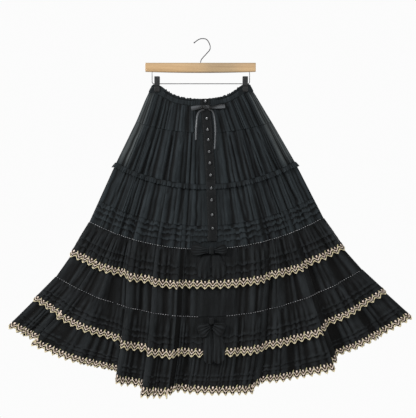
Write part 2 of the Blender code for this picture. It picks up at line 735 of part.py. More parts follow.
def build_bar(collection, cutters):
    length = BAR_RIGHT - BAR_LEFT
    middle = (BAR_LEFT + BAR_RIGHT) / 2
    bm = bmesh.new()
    bmesh.ops.create_cube(bm, size=1.0)
    long_edges = [edge for edge in bm.edges if abs(edge.verts[0].co.x - edge.verts[1].co.x) > 0.5]
    bmesh.ops.subdivide_edges(bm, edges=long_edges, cuts=7, use_grid_fill=True)
    for vertex in bm.verts:
        share = vertex.co.x * 2
        low = BAR_FOOT - BAR_BOW * (1 - share * share)
        z = BAR_TOP if vertex.co.z > 0 else low
        vertex.co = (middle + vertex.co.x * length, vertex.co.y * BAR_THICKNESS, z)
    bar = add_mesh("hanger_bar", bm, collection, WOOD_BEECH, 0.45)
    edge = bar.modifiers.new("rounded edges", "BEVEL")
    edge.width = BAR_EDGE
    edge.segments = 2
    edge.limit_method = "ANGLE"
    edge.angle_limit = math.radians(40)
    bores = (
        ("hook bore", HOOK_SHANK_X, BAR_TOP + 0.01, HOOK_ROUTE[-1][1] - GAP, HOOK_RADIUS),
        ("left bore", WIRE_LEFT, BAR_FOOT - 0.01, BAR_FOOT + WIRE_DEPTH_IN_BAR + GAP, WIRE_RADIUS),
        ("right bore", WIRE_RIGHT, BAR_FOOT - 0.01, BAR_FOOT + WIRE_DEPTH_IN_BAR + GAP, WIRE_RADIUS),
    )
    for name, x, mouth, end, radius in bores:
        cut(bar, add_cutter(name, ((x, 0, mouth), (x, 0, end)), radius + GAP, cutters))


def build_hook(collection):
    points = smooth_route([(x, 0, z) for x, z in HOOK_ROUTE], 2)
    radii = [HOOK_BEAD if number < 2 else 1.0 for number in range(len(points))]
    paint(add_tube("hanger_hook", points, HOOK_RADIUS, collection, radii), WIRE_STEEL, 0.25, 1.0)


def build_wire(collection):
    top = BAR_FOOT + WIRE_DEPTH_IN_BAR
    corner_z = WIRE_ROD_Z + WIRE_CORNER
    points = [(WIRE_LEFT, 0, top)]
    for middle_x, start in ((WIRE_LEFT + WIRE_CORNER, math.pi), (WIRE_RIGHT - WIRE_CORNER, 1.5 * math.pi)):
        for step in range(5):
            angle = start + step * math.pi / 8
            x = middle_x + WIRE_CORNER * math.cos(angle)
            points.append((x, 0, corner_z + WIRE_CORNER * math.sin(angle)))
    points.append((WIRE_RIGHT, 0, top))
    paint(add_tube("hanger_wire", points, WIRE_RADIUS, collection), WIRE_STEEL, 0.3, 1.0)


def build_clip(name, x, collection, cutters):
    """A clip seen from its side: two grips over the rod and two jaws round the waistband."""
    seats = []
    for edge in (-CLIP_WIDTH / 2, 0, CLIP_WIDTH / 2):
        sizes = sizes_at(LEVEL["band"])
        place = (x + edge - sizes["middle_x"]) / sizes["half_width"]
        seats.append(skirt_point(place, LEVEL["band"], FRONT))
        sizes = sizes_at(LEVEL["waist"])
        place = max(-1, min(1, (x + edge - sizes["middle_x"]) / sizes["half_width"]))
        seats.append(skirt_point(place, LEVEL["waist"], FRONT))
    inner = max(abs(seat.y) for seat in seats) + WALL / 2 + GAP
    slot_top = max(seat.z for seat in seats) + 2 * GAP
    outer = inner + CLIP_JAW
    half = (
        (CLIP_TOP_HALF_DEPTH - 0.001, CLIP_TOP),
        (CLIP_TOP_HALF_DEPTH, CLIP_TOP - 0.0015),
        (CLIP_NECK_HALF_DEPTH, CLIP_NECK),
        (outer, slot_top + 0.001),
        (outer, CLIP_FOOT + 0.001),
        (outer - 0.001, CLIP_FOOT),
        (inner, CLIP_FOOT),
        (inner, slot_top),
    )
    outline = [*half, *((-y, z) for y, z in reversed(half))]
    bm = bmesh.new()
    start = x - CLIP_WIDTH / 2
    face = bm.faces.new([bm.verts.new((start, y, z)) for y, z in outline])
    made = bmesh.ops.extrude_face_region(bm, geom=[face], use_keep_orig=True)
    moved = [item for item in made["geom"] if isinstance(item, bmesh.types.BMVert)]
    bmesh.ops.translate(bm, vec=(CLIP_WIDTH, 0, 0), verts=moved)
    bmesh.ops.recalc_face_normals(bm, faces=bm.faces)
    clip = add_mesh(name, bm, collection, CLIP_BLACK, 0.5)
    ends = ((x - CLIP_WIDTH, 0, WIRE_ROD_Z), (x + CLIP_WIDTH, 0, WIRE_ROD_Z))
    cut(clip, add_cutter(f"{name} bore", ends, WIRE_RADIUS + GAP, cutters))


def build():
    clear_scene()
    skirt = new_collection("tiered skirt on a clip hanger")
    cutters = new_collection("cutters")
    build_tiers(skirt)
    build_tucks(skirt)
    build_frill(skirt)
    build_ruffles(skirt)
    build_flounce(skirt)
    build_placket(skirt)
    build_buttons(skirt)
    build_ribbon(skirt)
    build_bows(skirt)
    build_bar(skirt, cutters)
    build_hook(skirt)
    build_wire(skirt)
    for name, x in CLIP_X.items():
        build_clip(f"clip_{name}", x, skirt, cutters)


build()
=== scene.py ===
"""Looks of a long tiered skirt, opened out flat and hung by two clips from a wooden skirt hanger.

Metres, +Z up, the front faces -Y. A level says how far down the cloth a point lies: 0 is the waist, 8 the
hem, and each whole number a row of SEAMS. A place says how far across it lies, from -1 at the left side seam
to 1 at the right one, and a share how far along the gathered cloth it lies, from 0 to 1.
"""

import math
from functools import partial

import bmesh
import bpy
import numpy as np
from mathutils import Matrix, Vector


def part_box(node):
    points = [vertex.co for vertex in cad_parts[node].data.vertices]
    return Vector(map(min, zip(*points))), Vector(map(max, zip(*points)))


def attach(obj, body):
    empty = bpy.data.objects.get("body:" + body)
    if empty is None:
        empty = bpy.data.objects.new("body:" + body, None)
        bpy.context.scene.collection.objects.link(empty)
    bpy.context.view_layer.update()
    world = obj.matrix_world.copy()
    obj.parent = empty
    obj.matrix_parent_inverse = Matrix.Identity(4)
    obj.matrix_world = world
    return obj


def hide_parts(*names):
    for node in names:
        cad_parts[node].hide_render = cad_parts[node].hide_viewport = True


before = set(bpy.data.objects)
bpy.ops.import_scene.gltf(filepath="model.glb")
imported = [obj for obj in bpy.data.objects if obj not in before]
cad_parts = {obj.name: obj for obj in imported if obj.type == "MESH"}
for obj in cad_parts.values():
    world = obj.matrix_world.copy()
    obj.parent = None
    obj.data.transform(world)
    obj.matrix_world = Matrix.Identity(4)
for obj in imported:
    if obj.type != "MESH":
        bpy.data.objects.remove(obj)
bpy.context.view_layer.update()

# Cloth, as the solids have it
FRONT = -1
BACK = 1
SIDES = (("front", FRONT), ("back", BACK))
SOLID_WALL = 0.0015
LAP = SOLID_WALL + 0.0004
SAG_ANGLE = math.radians(30)
RETURN_HALF_WIDTH = 0.006
# Seams from the waist down: half width, middle, height at the left, the right and the middle, half depth, and
# how much of each fold shows
SEAMS = {
    "waist": (0.155, -0.003, -0.150, -0.148, -0.190, 0.014, 0.00),
    "band": (0.166, -0.003, -0.177, -0.174, -0.213, 0.015, 0.00),
    "yoke": (0.214, 0.006, -0.262, -0.262, -0.298, 0.020, 0.05),
    "frill": (0.282, 0.011, -0.391, -0.388, -0.461, 0.026, 0.20),
    "stitch_1": (0.370, 0.014, -0.579, -0.566, -0.665, 0.032, 0.45),
    "hem_a": (0.433, 0.017, -0.687, -0.666, -0.788, 0.036, 0.60),
    "stitch_2": (0.483, 0.022, -0.751, -0.728, -0.875, 0.040, 0.70),
    "hem_b": (0.556, 0.025, -0.826, -0.802, -1.003, 0.044, 0.85),
    "hem_c": (0.644, 0.025, -0.913, -0.882, -1.109, 0.048, 1.00),
}
SEAM_TABLE = np.array(list(SEAMS.values()))
LEVEL = {name: number for number, name in enumerate(SEAMS)}

# The large folds: place at the first ladder stitch, place at the hem, the side that lies in front, depth
FOLDS = {
    FRONT: (
        (-0.82, -0.87, 1, 0.010),
        (-0.62, -0.45, 1, 0.015),
        (-0.42, -0.32, 1, 0.016),
        (-0.20, -0.19, -1, 0.013),
        (0.50, 0.22, -1, 0.016),
        (0.74, 0.61, -1, 0.014),
    ),
    BACK: (
        (-0.78, -0.66, 1, 0.013),
        (-0.52, -0.30, 1, 0.016),
        (-0.10, -0.05, 1, 0.012),
        (0.24, 0.18, -1, 0.016),
        (0.54, 0.46, -1, 0.015),
        (0.80, 0.85, -1, 0.010),
    ),
}
# Columns of a solid's wall
SOLID_COLUMNS = 48
FOLD_CLOTH = 1 / SOLID_COLUMNS
WAVE_EDGE = 3 / SOLID_COLUMNS
RUFFLE_EDGE = 4 / SOLID_COLUMNS
FOLD_LAP = 0.0075
# How much lower than its arc each hem hangs, in millimetres: at the left side, both edges of each fold and
# the right side
HEM_DROPS = {
    "a": (0, -3, 3, -4, 4, -3, 4, 4, -2, 4, -4, 4, -4, 0),
    "b": (0, -6, 6, -9, 9, 0, 12, 8, -4, 0, -6, 8, -10, 0),
    "c": (0, -16, 4, -26, 11, 6, 34, 24, 5, 17, -10, 17, -18, 0),
}
MM = 0.001
BACK_DROP_SHARE = 0.7
# Where the back's hem is held up behind a raised fold of the front: share of the cloth, half width, height
BACK_HELD_UP = (0.215, 0.085, 0.016)

# The solids' own soft waves: number on a side, phase, depth at the top and at the foot
WAVES = {
    "waistband": (7, 0.0, 0.0022, 0.0010),
    "yoke": (14, 0.0, 0.0016, 0.0024),
    "tier_1": (14, 0.0, 0.0024, 0.0040),
    "tier_2": (16, 0.0, 0.0022, 0.0036),
    "tier_3": (12, math.pi / 4, 0.0036, 0.0060),
    "flounce_c": (12, math.pi / 4, 0.0060, 0.0080),
}
# Free ruffles: tier behind, levels of the top and the hem, share of the length that is cloth, how far the hem
# stands off and how much of the tier's wave it adds
RUFFLES = {
    "a": ("tier_3", 4.0, 5.0, 0.77, 0.009, 0.002),
    "b": ("flounce_c", 6.0, 7.0, 0.77, 0.010, 0.002),
}
FLOUNCE_CLOTH = 7.74
# Levels from the flounce's seam to the foot of its cloth
FLOUNCE_LEVELS = 1.74

# The line down the middle of the front
AXIS_HEIGHTS = (-1.00, -0.68, -0.60, -0.43, -0.30, -0.19)
AXIS_X = (0.031, 0.030, 0.0335, 0.0268, 0.0185, 0.0095)
PLACKET_WIDTH = 0.030
BOW_FLAT_HALF_WIDTH = 0.062
CLIP_X = {"left": -0.1418, "right": 0.1366}
# How far from a clip's middle the waistband lies flat, and over what length its waves come back
CLIP_REACH, CLIP_EASE = 0.013, 0.015

# Thickness of the visible cloth
SHELL = 0.0007


# The skirt's form


def seam_sizes(level):
    """The columns of SEAMS at each level, on a straight line between two rows and past the last."""
    level = np.asarray(level, float)
    number = np.clip(np.floor(level), 0, len(SEAM_TABLE) - 2).astype(int)
    rest = (level - number)[..., None]
    return np.moveaxis(SEAM_TABLE[number] * (1 - rest) + SEAM_TABLE[number + 1] * rest, -1, 0)


def even_place(share):
    """The place of a share of the cloth, which is spread evenly round a flattened half ring."""
    angle = np.linspace(0, math.pi, 2001)
    flatness = SEAMS["stitch_1"][5] / SEAMS["stitch_1"][0]
    step = np.hypot(np.diff(np.cos(angle)), flatness * np.diff(np.sin(angle)))
    reached = np.concatenate([[0], np.cumsum(step)])
    return -np.cos(np.interp(share, reached / reached[-1], angle))


def fold_middles(side):
    """The share of the cloth at the middle of each fold."""
    places = even_place(np.linspace(0, 1, SOLID_COLUMNS + 1))
    return [
        (np.argmin(np.abs(places - (upper + lower) / 2)) + 0.5) / SOLID_COLUMNS
        for upper, lower, _, _ in FOLDS[side]
    ]


FOLD_SHARES = {side: fold_middles(side) for _, side in SIDES}


def smooth(value):
    value = np.clip(value, 0.0, 1.0)
    return value * value * (3 - 2 * value)


def folded(share, level, side):
    """Place, fold depth and how near the next fold is, with the cloth lapped over itself at each fold."""
    sizes = seam_sizes(level)
    half_width, fold_share = sizes[0], sizes[6]
    down = np.clip((level - LEVEL["stitch_1"]) / (LEVEL["hem_c"] - LEVEL["stitch_1"]), 0, 1)
    nothing = np.zeros_like(share)
    knots = [(0.0, nothing - 1, nothing, 0)]
    for (upper, lower, proud_side, depth), middle in zip(FOLDS[side], FOLD_SHARES[side]):
        plain = (even_place(middle + FOLD_CLOTH / 2) - even_place(middle - FOLD_CLOTH / 2)) / 2
        half = (1 - fold_share) * plain + fold_share * RETURN_HALF_WIDTH / half_width
        place = upper + (lower - upper) * down
        proud, sunk = 0.55 * depth * fold_share, -0.45 * depth * fold_share
        left, right = (sunk, proud) if proud_side > 0 else (proud, sunk)
        knots.append((middle - FOLD_CLOTH / 2, place - half, left, 0))
        knots.append((middle + FOLD_CLOTH / 2, place + half, right, proud_side))
    knots.append((1.0, nothing + 1, nothing, 0))
    places, depths, near = nothing.copy(), nothing.copy(), nothing.copy()
    for before, after in zip(knots, knots[1:]):
        reach = after[0] - before[0]
        part = (share - before[0]) / reach
        here = (part >= 0) & (part <= 1)
        if after[3]:
            lap = after[3] * FOLD_LAP * fold_share / half_width * np.sin(2 * math.pi * part)
            step = smooth(part)
            bell = np.sin(math.pi * np.clip(part, 0, 1))
        else:
            even = even_place(share)
            start, end = even_place(before[0]), even_place(after[0])
            part = (even - start) / (end - start)
            lap, step, bell = 0.0, part, 0.0
        places = np.where(here, before[1] + (after[1] - before[1]) * part + lap, places)
        depths = np.where(here, before[2] + (after[2] - before[2]) * step, depths)
        near = np.where(here, bell, near)
    return places, depths, near


def shoulder(place, level):
    """How much higher the cloth hangs beside the clips than its arc."""
    beside = np.abs(place) - 0.87
    reach = np.where(beside < 0, 0.24, 0.13)
    return 0.0155 * np.exp(-((beside / reach) ** 2)) * smooth((2.0 - level) / 1.0)


def skirt_form(place, level, side, out):
    """Points of the innermost cloth, moved out by a distance."""
    half_width, middle_x, left_z, right_z, middle_z, half_depth, _ = seam_sizes(level)
    flat = np.sqrt(np.clip(1 - place * place, 0, 1))
    arc = np.sqrt(1 - (place * math.sin(SAG_ANGLE)) ** 2) - math.cos(SAG_ANGLE)
    arc = arc / (1 - math.cos(SAG_ANGLE))
    z = left_z + (right_z - left_z) * (place + 1) / 2 + (middle_z - (left_z + right_z) / 2) * arc
    z = z + shoulder(place, level)
    way_x, way_y = place / half_width, side * flat / half_depth
    length = np.hypot(way_x, way_y)
    x = middle_x + half_width * place + way_x / length * out
    y = side * np.maximum(half_depth * flat, 0.0002) + way_y / length * out
    return np.stack([x, y, z], -1)


def axis_x(z):
    return np.interp(z, AXIS_HEIGHTS, AXIS_X)


def clear_of_clips(spot):
    """0 under a clip and 1 well beside it."""
    near = np.minimum(*(np.abs(spot[..., 0] - x) for x in CLIP_X.values()))
    return smooth((near - CLIP_REACH) / CLIP_EASE)


def calm(name, place, level, side):
    """0 where the cloth lies flat, under the placket, a bow or a clip, and 1 elsewhere."""
    spot = skirt_form(place, level, side, 0.0)
    wave = clear_of_clips(spot) if name == "waistband" else np.ones_like(place)
    if side == BACK:
        return wave
    flat = np.where(spot[..., 2] < -0.60, BOW_FLAT_HALF_WIDTH, PLACKET_WIDTH / 2 + 0.010)
    return wave * smooth((np.abs(spot[..., 0] - axis_x(spot[..., 2])) - flat) / 0.02)


def seam_edge(share, cloth):
    """0 at a side seam, rising to 1 within a share of the cloth."""
    return np.clip(np.minimum(share, 1 - share) / cloth, 0, 1)


def wobble(values, seed, finest):
    """A smooth uneven curve between about -1 and 1."""
    draws = np.random.default_rng(seed)
    total = 0.0
    for pitch in draws.uniform(0.25, 1.0, 5) * finest:
        total = total + np.sin(2 * math.pi * (values * pitch + draws.random()))
    return total / 3


def pleats(share, down, count, seed):
    """Rounded ridges with narrow valleys between them, uneven in spacing and height, from 0 to about 1."""
    phase = share * count + 0.36 * wobble(share, seed, count / 2.2) + 0.03 * wobble(down, seed + 5, 3)
    ridge = np.abs(np.cos(math.pi * phase)) ** 0.8
    strength = 0.66 + 0.42 * wobble(share + 0.02 * down, seed + 9, count / 3)
    return np.clip(strength, 0.1, 1.2) * ridge


CREASE_DEPTH = 1.5
CREASE_WIDTH = 0.7
# Main creases by tier: share of the cloth at the top and at the foot, start and end down the tier, half width
# in shares, depth in millimetres (a ridge is positive)
CREASES = {
    ("tier_1", FRONT): (
        (0.10, 0.08, 0.05, 1.0, 0.012, -2.6), (0.17, 0.15, 0.30, 1.0, 0.009, 2.0),
        (0.235, 0.22, 0.0, 0.85, 0.010, -2.4), (0.31, 0.30, 0.10, 1.0, 0.011, -3.0),
        (0.36, 0.355, 0.25, 0.9, 0.008, 1.8), (0.42, 0.415, 0.0, 1.0, 0.009, -2.8),
        (0.64, 0.65, 0.05, 1.0, 0.010, -2.6), (0.70, 0.715, 0.2, 1.0, 0.009, 2.2),
        (0.765, 0.79, 0.0, 0.95, 0.012, -3.2), (0.85, 0.88, 0.1, 1.0, 0.010, -2.4),
        (0.92, 0.94, 0.3, 1.0, 0.009, 2.0),
    ),
    ("tier_1", BACK): (
        (0.12, 0.10, 0.0, 1.0, 0.011, -2.8), (0.22, 0.21, 0.2, 1.0, 0.010, 2.0),
        (0.33, 0.325, 0.0, 0.9, 0.010, -2.6), (0.44, 0.44, 0.1, 1.0, 0.012, -2.9),
        (0.55, 0.56, 0.0, 0.8, 0.009, 2.1), (0.66, 0.67, 0.1, 1.0, 0.011, -3.0),
        (0.78, 0.80, 0.0, 1.0, 0.010, -2.4), (0.88, 0.90, 0.2, 1.0, 0.010, 1.9),
    ),
    ("tier_2", FRONT): (
        (0.07, 0.06, 0.0, 1.0, 0.010, -3.0), (0.15, 0.14, 0.2, 1.0, 0.008, 2.2),
        (0.24, 0.235, 0.0, 1.0, 0.010, -3.2), (0.33, 0.33, 0.3, 1.0, 0.008, 2.4),
        (0.385, 0.38, 0.0, 1.0, 0.009, -3.4), (0.63, 0.64, 0.0, 1.0, 0.010, -3.0),
        (0.70, 0.71, 0.25, 1.0, 0.009, 2.4), (0.80, 0.815, 0.0, 1.0, 0.011, -3.4),
        (0.90, 0.92, 0.0, 0.9, 0.009, -2.6),
    ),
    ("tier_2", BACK): (
        (0.10, 0.09, 0.0, 1.0, 0.010, -3.0), (0.21, 0.20, 0.1, 1.0, 0.009, 2.4),
        (0.35, 0.35, 0.0, 1.0, 0.011, -3.4), (0.48, 0.48, 0.2, 1.0, 0.009, -2.6),
        (0.62, 0.63, 0.0, 0.9, 0.009, 2.3), (0.74, 0.75, 0.0, 1.0, 0.011, -3.2),
        (0.89, 0.91, 0.1, 1.0, 0.009, -2.7),
    ),
    ("tier_3", FRONT): (
        (0.08, 0.07, 0.45, 1.0, 0.010, -4.0), (0.17, 0.16, 0.5, 1.0, 0.010, 3.0),
        (0.29, 0.285, 0.45, 1.0, 0.010, -4.0), (0.44, 0.44, 0.45, 1.0, 0.011, -3.6),
        (0.58, 0.585, 0.5, 0.95, 0.010, 3.0), (0.66, 0.665, 0.45, 1.0, 0.011, -4.2),
        (0.80, 0.805, 0.45, 1.0, 0.010, -3.8), (0.91, 0.915, 0.5, 1.0, 0.009, 2.8),
    ),
    ("tier_3", BACK): (
        (0.12, 0.115, 0.45, 1.0, 0.010, -4.0), (0.28, 0.28, 0.5, 1.0, 0.011, 3.0),
        (0.41, 0.41, 0.45, 1.0, 0.010, -4.0), (0.58, 0.58, 0.45, 1.0, 0.011, -3.6),
        (0.72, 0.725, 0.5, 0.95, 0.010, 3.0), (0.87, 0.875, 0.45, 1.0, 0.010, -4.0),
    ),
    ("flounce_c", FRONT): (
        (0.06, 0.06, 0.5, 1.0, 0.009, -5.0), (0.22, 0.22, 0.5, 1.0, 0.010, -4.5),
        (0.31, 0.315, 0.55, 1.0, 0.009, 3.5), (0.46, 0.46, 0.5, 1.0, 0.010, -4.0),
        (0.55, 0.555, 0.5, 1.0, 0.010, -4.5), (0.70, 0.70, 0.55, 1.0, 0.010, 3.5),
        (0.76, 0.765, 0.5, 1.0, 0.010, -4.5), (0.93, 0.93, 0.5, 1.0, 0.009, -4.5),
    ),
    ("flounce_c", BACK): (
        (0.09, 0.09, 0.5, 1.0, 0.010, -5.0), (0.25, 0.25, 0.5, 1.0, 0.010, 3.5),
        (0.40, 0.40, 0.5, 1.0, 0.010, -4.5), (0.59, 0.59, 0.5, 1.0, 0.010, -4.5),
        (0.74, 0.74, 0.5, 1.0, 0.010, 3.5), (0.90, 0.90, 0.5, 1.0, 0.010, -5.0),
    ),
    ("ruffle_a", FRONT): (
        (0.05, 0.04, 0.1, 1.0, 0.008, -2.6), (0.13, 0.125, 0.0, 0.8, 0.007, 2.0),
        (0.21, 0.205, 0.0, 1.0, 0.009, -3.0), (0.275, 0.27, 0.2, 1.0, 0.008, 2.2),
        (0.34, 0.34, 0.0, 0.7, 0.008, -2.6), (0.63, 0.635, 0.0, 0.9, 0.008, -2.8),
        (0.70, 0.71, 0.1, 1.0, 0.008, 2.2), (0.775, 0.785, 0.0, 1.0, 0.009, -3.2),
        (0.86, 0.87, 0.2, 1.0, 0.008, 2.0), (0.94, 0.95, 0.0, 0.8, 0.008, -2.8),
    ),
    ("ruffle_a", BACK): (
        (0.08, 0.075, 0.0, 1.0, 0.008, -2.8), (0.19, 0.19, 0.1, 0.9, 0.008, 2.2),
        (0.31, 0.31, 0.0, 1.0, 0.009, -3.0), (0.45, 0.45, 0.0, 0.8, 0.008, -2.6),
        (0.57, 0.57, 0.1, 1.0, 0.008, 2.2), (0.69, 0.695, 0.0, 1.0, 0.009, -3.0),
        (0.83, 0.835, 0.0, 0.9, 0.008, 2.2), (0.93, 0.935, 0.1, 1.0, 0.008, -2.6),
    ),
    ("ruffle_b", FRONT): (
        (0.06, 0.055, 0.0, 1.0, 0.007, -3.2), (0.15, 0.145, 0.1, 0.8, 0.007, 2.6),
        (0.23, 0.23, 0.0, 1.0, 0.008, -3.4), (0.33, 0.33, 0.2, 1.0, 0.007, 2.6),
        (0.385, 0.385, 0.0, 0.8, 0.007, -3.0), (0.615, 0.615, 0.0, 0.9, 0.007, -3.2),
        (0.68, 0.685, 0.1, 1.0, 0.007, 2.6), (0.75, 0.755, 0.0, 1.0, 0.008, -3.6),
        (0.84, 0.845, 0.2, 1.0, 0.007, 2.4), (0.91, 0.915, 0.0, 0.8, 0.007, -3.0),
    ),
    ("ruffle_b", BACK): (
        (0.07, 0.07, 0.0, 1.0, 0.007, -3.2), (0.20, 0.20, 0.1, 0.9, 0.007, 2.6),
        (0.32, 0.32, 0.0, 1.0, 0.008, -3.4), (0.44, 0.44, 0.0, 0.8, 0.007, -3.0),
        (0.56, 0.56, 0.1, 1.0, 0.007, 2.6), (0.68, 0.68, 0.0, 1.0, 0.008, -3.4),
        (0.81, 0.81, 0.0, 0.9, 0.007, 2.6), (0.92, 0.92, 0.1, 1.0, 0.007, -3.0),
    ),
}


def creases(name, side, share, down):
    """The main creases of a tier, in metres out."""
    total = np.zeros_like(share)
    for top, foot, start, end, width, depth in CREASES.get((name, side), ()):
        middle = top + (foot - top) * down
        length = smooth((down - start) / 0.15 + 0.35) * smooth((end - down) / 0.2 + 0.6)
        across = np.exp(-(((share - middle) / (CREASE_WIDTH * width)) ** 2))
        total += CREASE_DEPTH * depth * MM * length * across
    return total


def hem_drop(letter, side, share):
    """How far below its arc a hem hangs, in metres."""
    values = np.array(HEM_DROPS[letter])
    if side == BACK:
        values = BACK_DROP_SHARE * values[::-1]
    knots = [0.0]
    for middle in FOLD_SHARES[side]:
        knots += [middle - FOLD_CLOTH / 2, middle + FOLD_CLOTH / 2]
    drop = np.interp(share, [*knots, 1.0], values * MM)
    if side == BACK and letter == "c":
        middle, reach, height = BACK_HELD_UP
        drop = drop - height * np.exp(-(((share - middle) / reach) ** 2))
    return drop


def level_length(level):
    """How far apart two whole levels lie at the middle of the front."""
    number = np.clip(np.floor(level), 0, len(SEAM_TABLE) - 2).astype(int)
    return np.abs(SEAM_TABLE[number, 4] - SEAM_TABLE[number + 1, 4])


def hem_level(letter, side, share, level):
    return level + hem_drop(letter, side, share) / level_length(level - 0.5)


def solid_wave(name, share, down):
    """The soft waves that the solid has too."""
    count, phase, top, foot = WAVES[name]
    depth = top + (foot - top) * down
    return depth * np.cos(2 * math.pi * count * share + phase) * seam_edge(share, WAVE_EDGE)


def wall_out(name, share, down, depth, quiet, near):
    """How far out the solid's own wall lies: its folds and its soft waves."""
    return depth * seam_edge(share, 0.01) + solid_wave(name, share, down) * quiet * (1 - near)


def beside_folds(share, near):
    """How much of the fine forms stays, near a fold and near a side seam."""
    return (1 - 0.8 * near) * seam_edge(share, 0.012)


def tier_points(name, side, share, level, down, extra=0.0, fine=1.0):
    """Place of each point of a tier, and how far out it lies with its creases and gathers.

    extra: fine gathers in metres out; fine: how much of them stays where the cloth is calm.
    """
    place, depth, near = folded(share, level, side)
    quiet = calm(name, place, level, side)
    more = creases(name, side, share, down) * quiet + extra * np.maximum(quiet, 0.25 * fine)
    return place, wall_out(name, share, down, depth, quiet, near) + more * beside_folds(share, near)


def travelled(points):
    """How far along a line each of its points lies."""
    return np.concatenate([[0.0], np.cumsum(np.linalg.norm(np.diff(points, axis=0), axis=1))])


def along_line(reach, lengths, points):
    """The points of a line at some distances along it."""
    return np.stack([np.interp(reach, lengths, column) for column in points.T], -1)


# Meshes

RIDGE_REACH = 5
RIDGE_HEIGHT = 0.0034
HIDDEN_ROWS = 0.16


def new_object(name, data):
    thing = bpy.data.objects.new(name, data)
    bpy.context.scene.collection.objects.link(thing)
    return thing


def mesh_object(name, bm):
    """A smooth shaded object with the shape of a bmesh, which is freed."""
    mesh = bpy.data.meshes.new(name)
    bm.to_mesh(mesh)
    bm.free()
    mesh.shade_smooth()
    return new_object(name, mesh)


def read_points(mesh):
    flat = np.zeros(len(mesh.vertices) * 3, np.float32)
    mesh.vertices.foreach_get("co", flat)
    return flat.reshape(-1, 3).astype(float)


def write_points(mesh, points):
    mesh.vertices.foreach_set("co", points.ravel().astype(np.float32))
    mesh.update()


def write_attribute(mesh, name, values):
    values = np.broadcast_to(values, len(mesh.vertices)).astype(np.float32)
    mesh.attributes.new(name, "FLOAT", "POINT").data.foreach_set("value", values)


def ridges(share, down, points, side):
    """How far each point stands out from the cloth beside, above and below it: 0.5 where it is even."""
    order = np.lexsort((share.round(6), down.round(6)))
    columns = len(np.unique(share.round(6)))
    out = (side * points[order, 1]).reshape(-1, columns)
    total = np.zeros_like(out)
    for axis in (0, 1):
        ends = [(RIDGE_REACH, RIDGE_REACH) if number == axis else (0, 0) for number in (0, 1)]
        padded = np.pad(out, ends, mode="edge")
        size = out.shape[axis]
        near = [padded.take(range(step, step + size), axis=axis) for step in range(2 * RIDGE_REACH + 1)]
        total += out - np.mean(near, axis=0)
    result = np.zeros(len(order))
    result[order] = np.clip(0.5 + total.ravel() / RIDGE_HEIGHT, 0, 1)
    return result


def cloth_grid(name, columns, rows, form, side, length, width, hidden=0.0):
    """A grid of cloth: form(share, down) gives its points. Its UV map is the cloth's own size in metres.

    hidden: the part of its length at the top that lies under a ruffle, which gets only a few rows.
    """
    bm = bmesh.new()
    bmesh.ops.create_grid(bm, x_segments=columns, y_segments=rows, size=1.0)
    if side == BACK:
        bmesh.ops.reverse_faces(bm, faces=bm.faces)
    thing = mesh_object(name, bm)
    mesh = thing.data
    flat = read_points(mesh)
    share, down = (flat[:, 0] + 1) / 2, (1 - flat[:, 1]) / 2
    if hidden:
        down = np.interp(down, (0, HIDDEN_ROWS, 1), (0, hidden, 1))
    corners = np.zeros(len(mesh.loops), np.int32)
    mesh.loops.foreach_get("vertex_index", corners)
    cloth = np.stack([share * width, down * length], -1)[corners]
    mesh.uv_layers.new(name="cloth").data.foreach_set("uv", cloth.ravel().astype(np.float32))
    points, values = form(share, down)
    write_points(mesh, points)
    if "painted_backlight" in values:
        # The ridge attribute sets the cotton's painted fold shade.
        values["ridge"] = ridges(share, down, points, side)
    for key, value in values.items():
        write_attribute(mesh, key, value)
    return thing


def thicken(thing, thickness=SHELL, offset=0.0):
    shell = thing.modifiers.new("cloth thickness", "SOLIDIFY")
    shell.thickness = thickness
    shell.offset = offset
    shell.use_rim = True
    return thing


def closed(thing, reach=2e-5):
    """The same mesh with its seam and its ends joined up."""
    bm = bmesh.new()
    bm.from_mesh(thing.data)
    bmesh.ops.remove_doubles(bm, verts=bm.verts, dist=reach)
    bmesh.ops.recalc_face_normals(bm, faces=bm.faces)
    bm.to_mesh(thing.data)
    bm.free()
    thing.data.shade_smooth()
    return thing


def finish_piece(thing, material, slot, *nodes):
    thing.data.materials.append(material)
    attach(thing, "root")
    if nodes:
        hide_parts(*nodes)
    return thing


# Materials


def new_material(name, settings):
    """A material and its shader, which gets its plain settings."""
    material = bpy.data.materials.new(name)
    material.use_nodes = True
    shader = material.node_tree.nodes["Principled BSDF"]
    for socket, value in settings.items():
        shader.inputs[socket].default_value = value
    return material, shader


def link(material, start, end):
    material.node_tree.links.new(start, end)


def new_node(material, kind, inputs, **settings):
    """A node with its settings, each input linked to another node's output or set to a plain value."""
    node = material.node_tree.nodes.new(kind)
    for name, value in settings.items():
        setattr(node, name, value)
    for socket, value in inputs.items():
        if isinstance(value, bpy.types.NodeSocket):
            link(material, value, node.inputs[socket])
        else:
            node.inputs[socket].default_value = value
    return node


def object_place(material):
    return new_node(material, "ShaderNodeTexCoord", {}).outputs["Object"]


def cloth_place(material):
    """The place on the cloth before it was gathered."""
    return new_node(material, "ShaderNodeUVMap", {}, uv_map="cloth").outputs["UV"]


def attribute(material, name):
    return new_node(material, "ShaderNodeAttribute", {}, attribute_name=name).outputs["Fac"]


def noise(material, vector, scale, detail=3.0, roughness=0.55):
    inputs = {"Vector": vector, "Scale": scale, "Detail": detail, "Roughness": roughness}
    return new_node(material, "ShaderNodeTexNoise", inputs).outputs["Fac"]


def stretched_noise(material, source, stretch, detail=3.0, roughness=0.55):
    """Noise with its own scale along each of three ways."""
    mapping = new_node(material, "ShaderNodeMapping", {"Vector": source, "Scale": stretch})
    return noise(material, mapping.outputs["Vector"], 1.0, detail, roughness)


def math_node(material, operation, *values):
    return new_node(material, "ShaderNodeMath", dict(enumerate(values)), operation=operation).outputs["Value"]


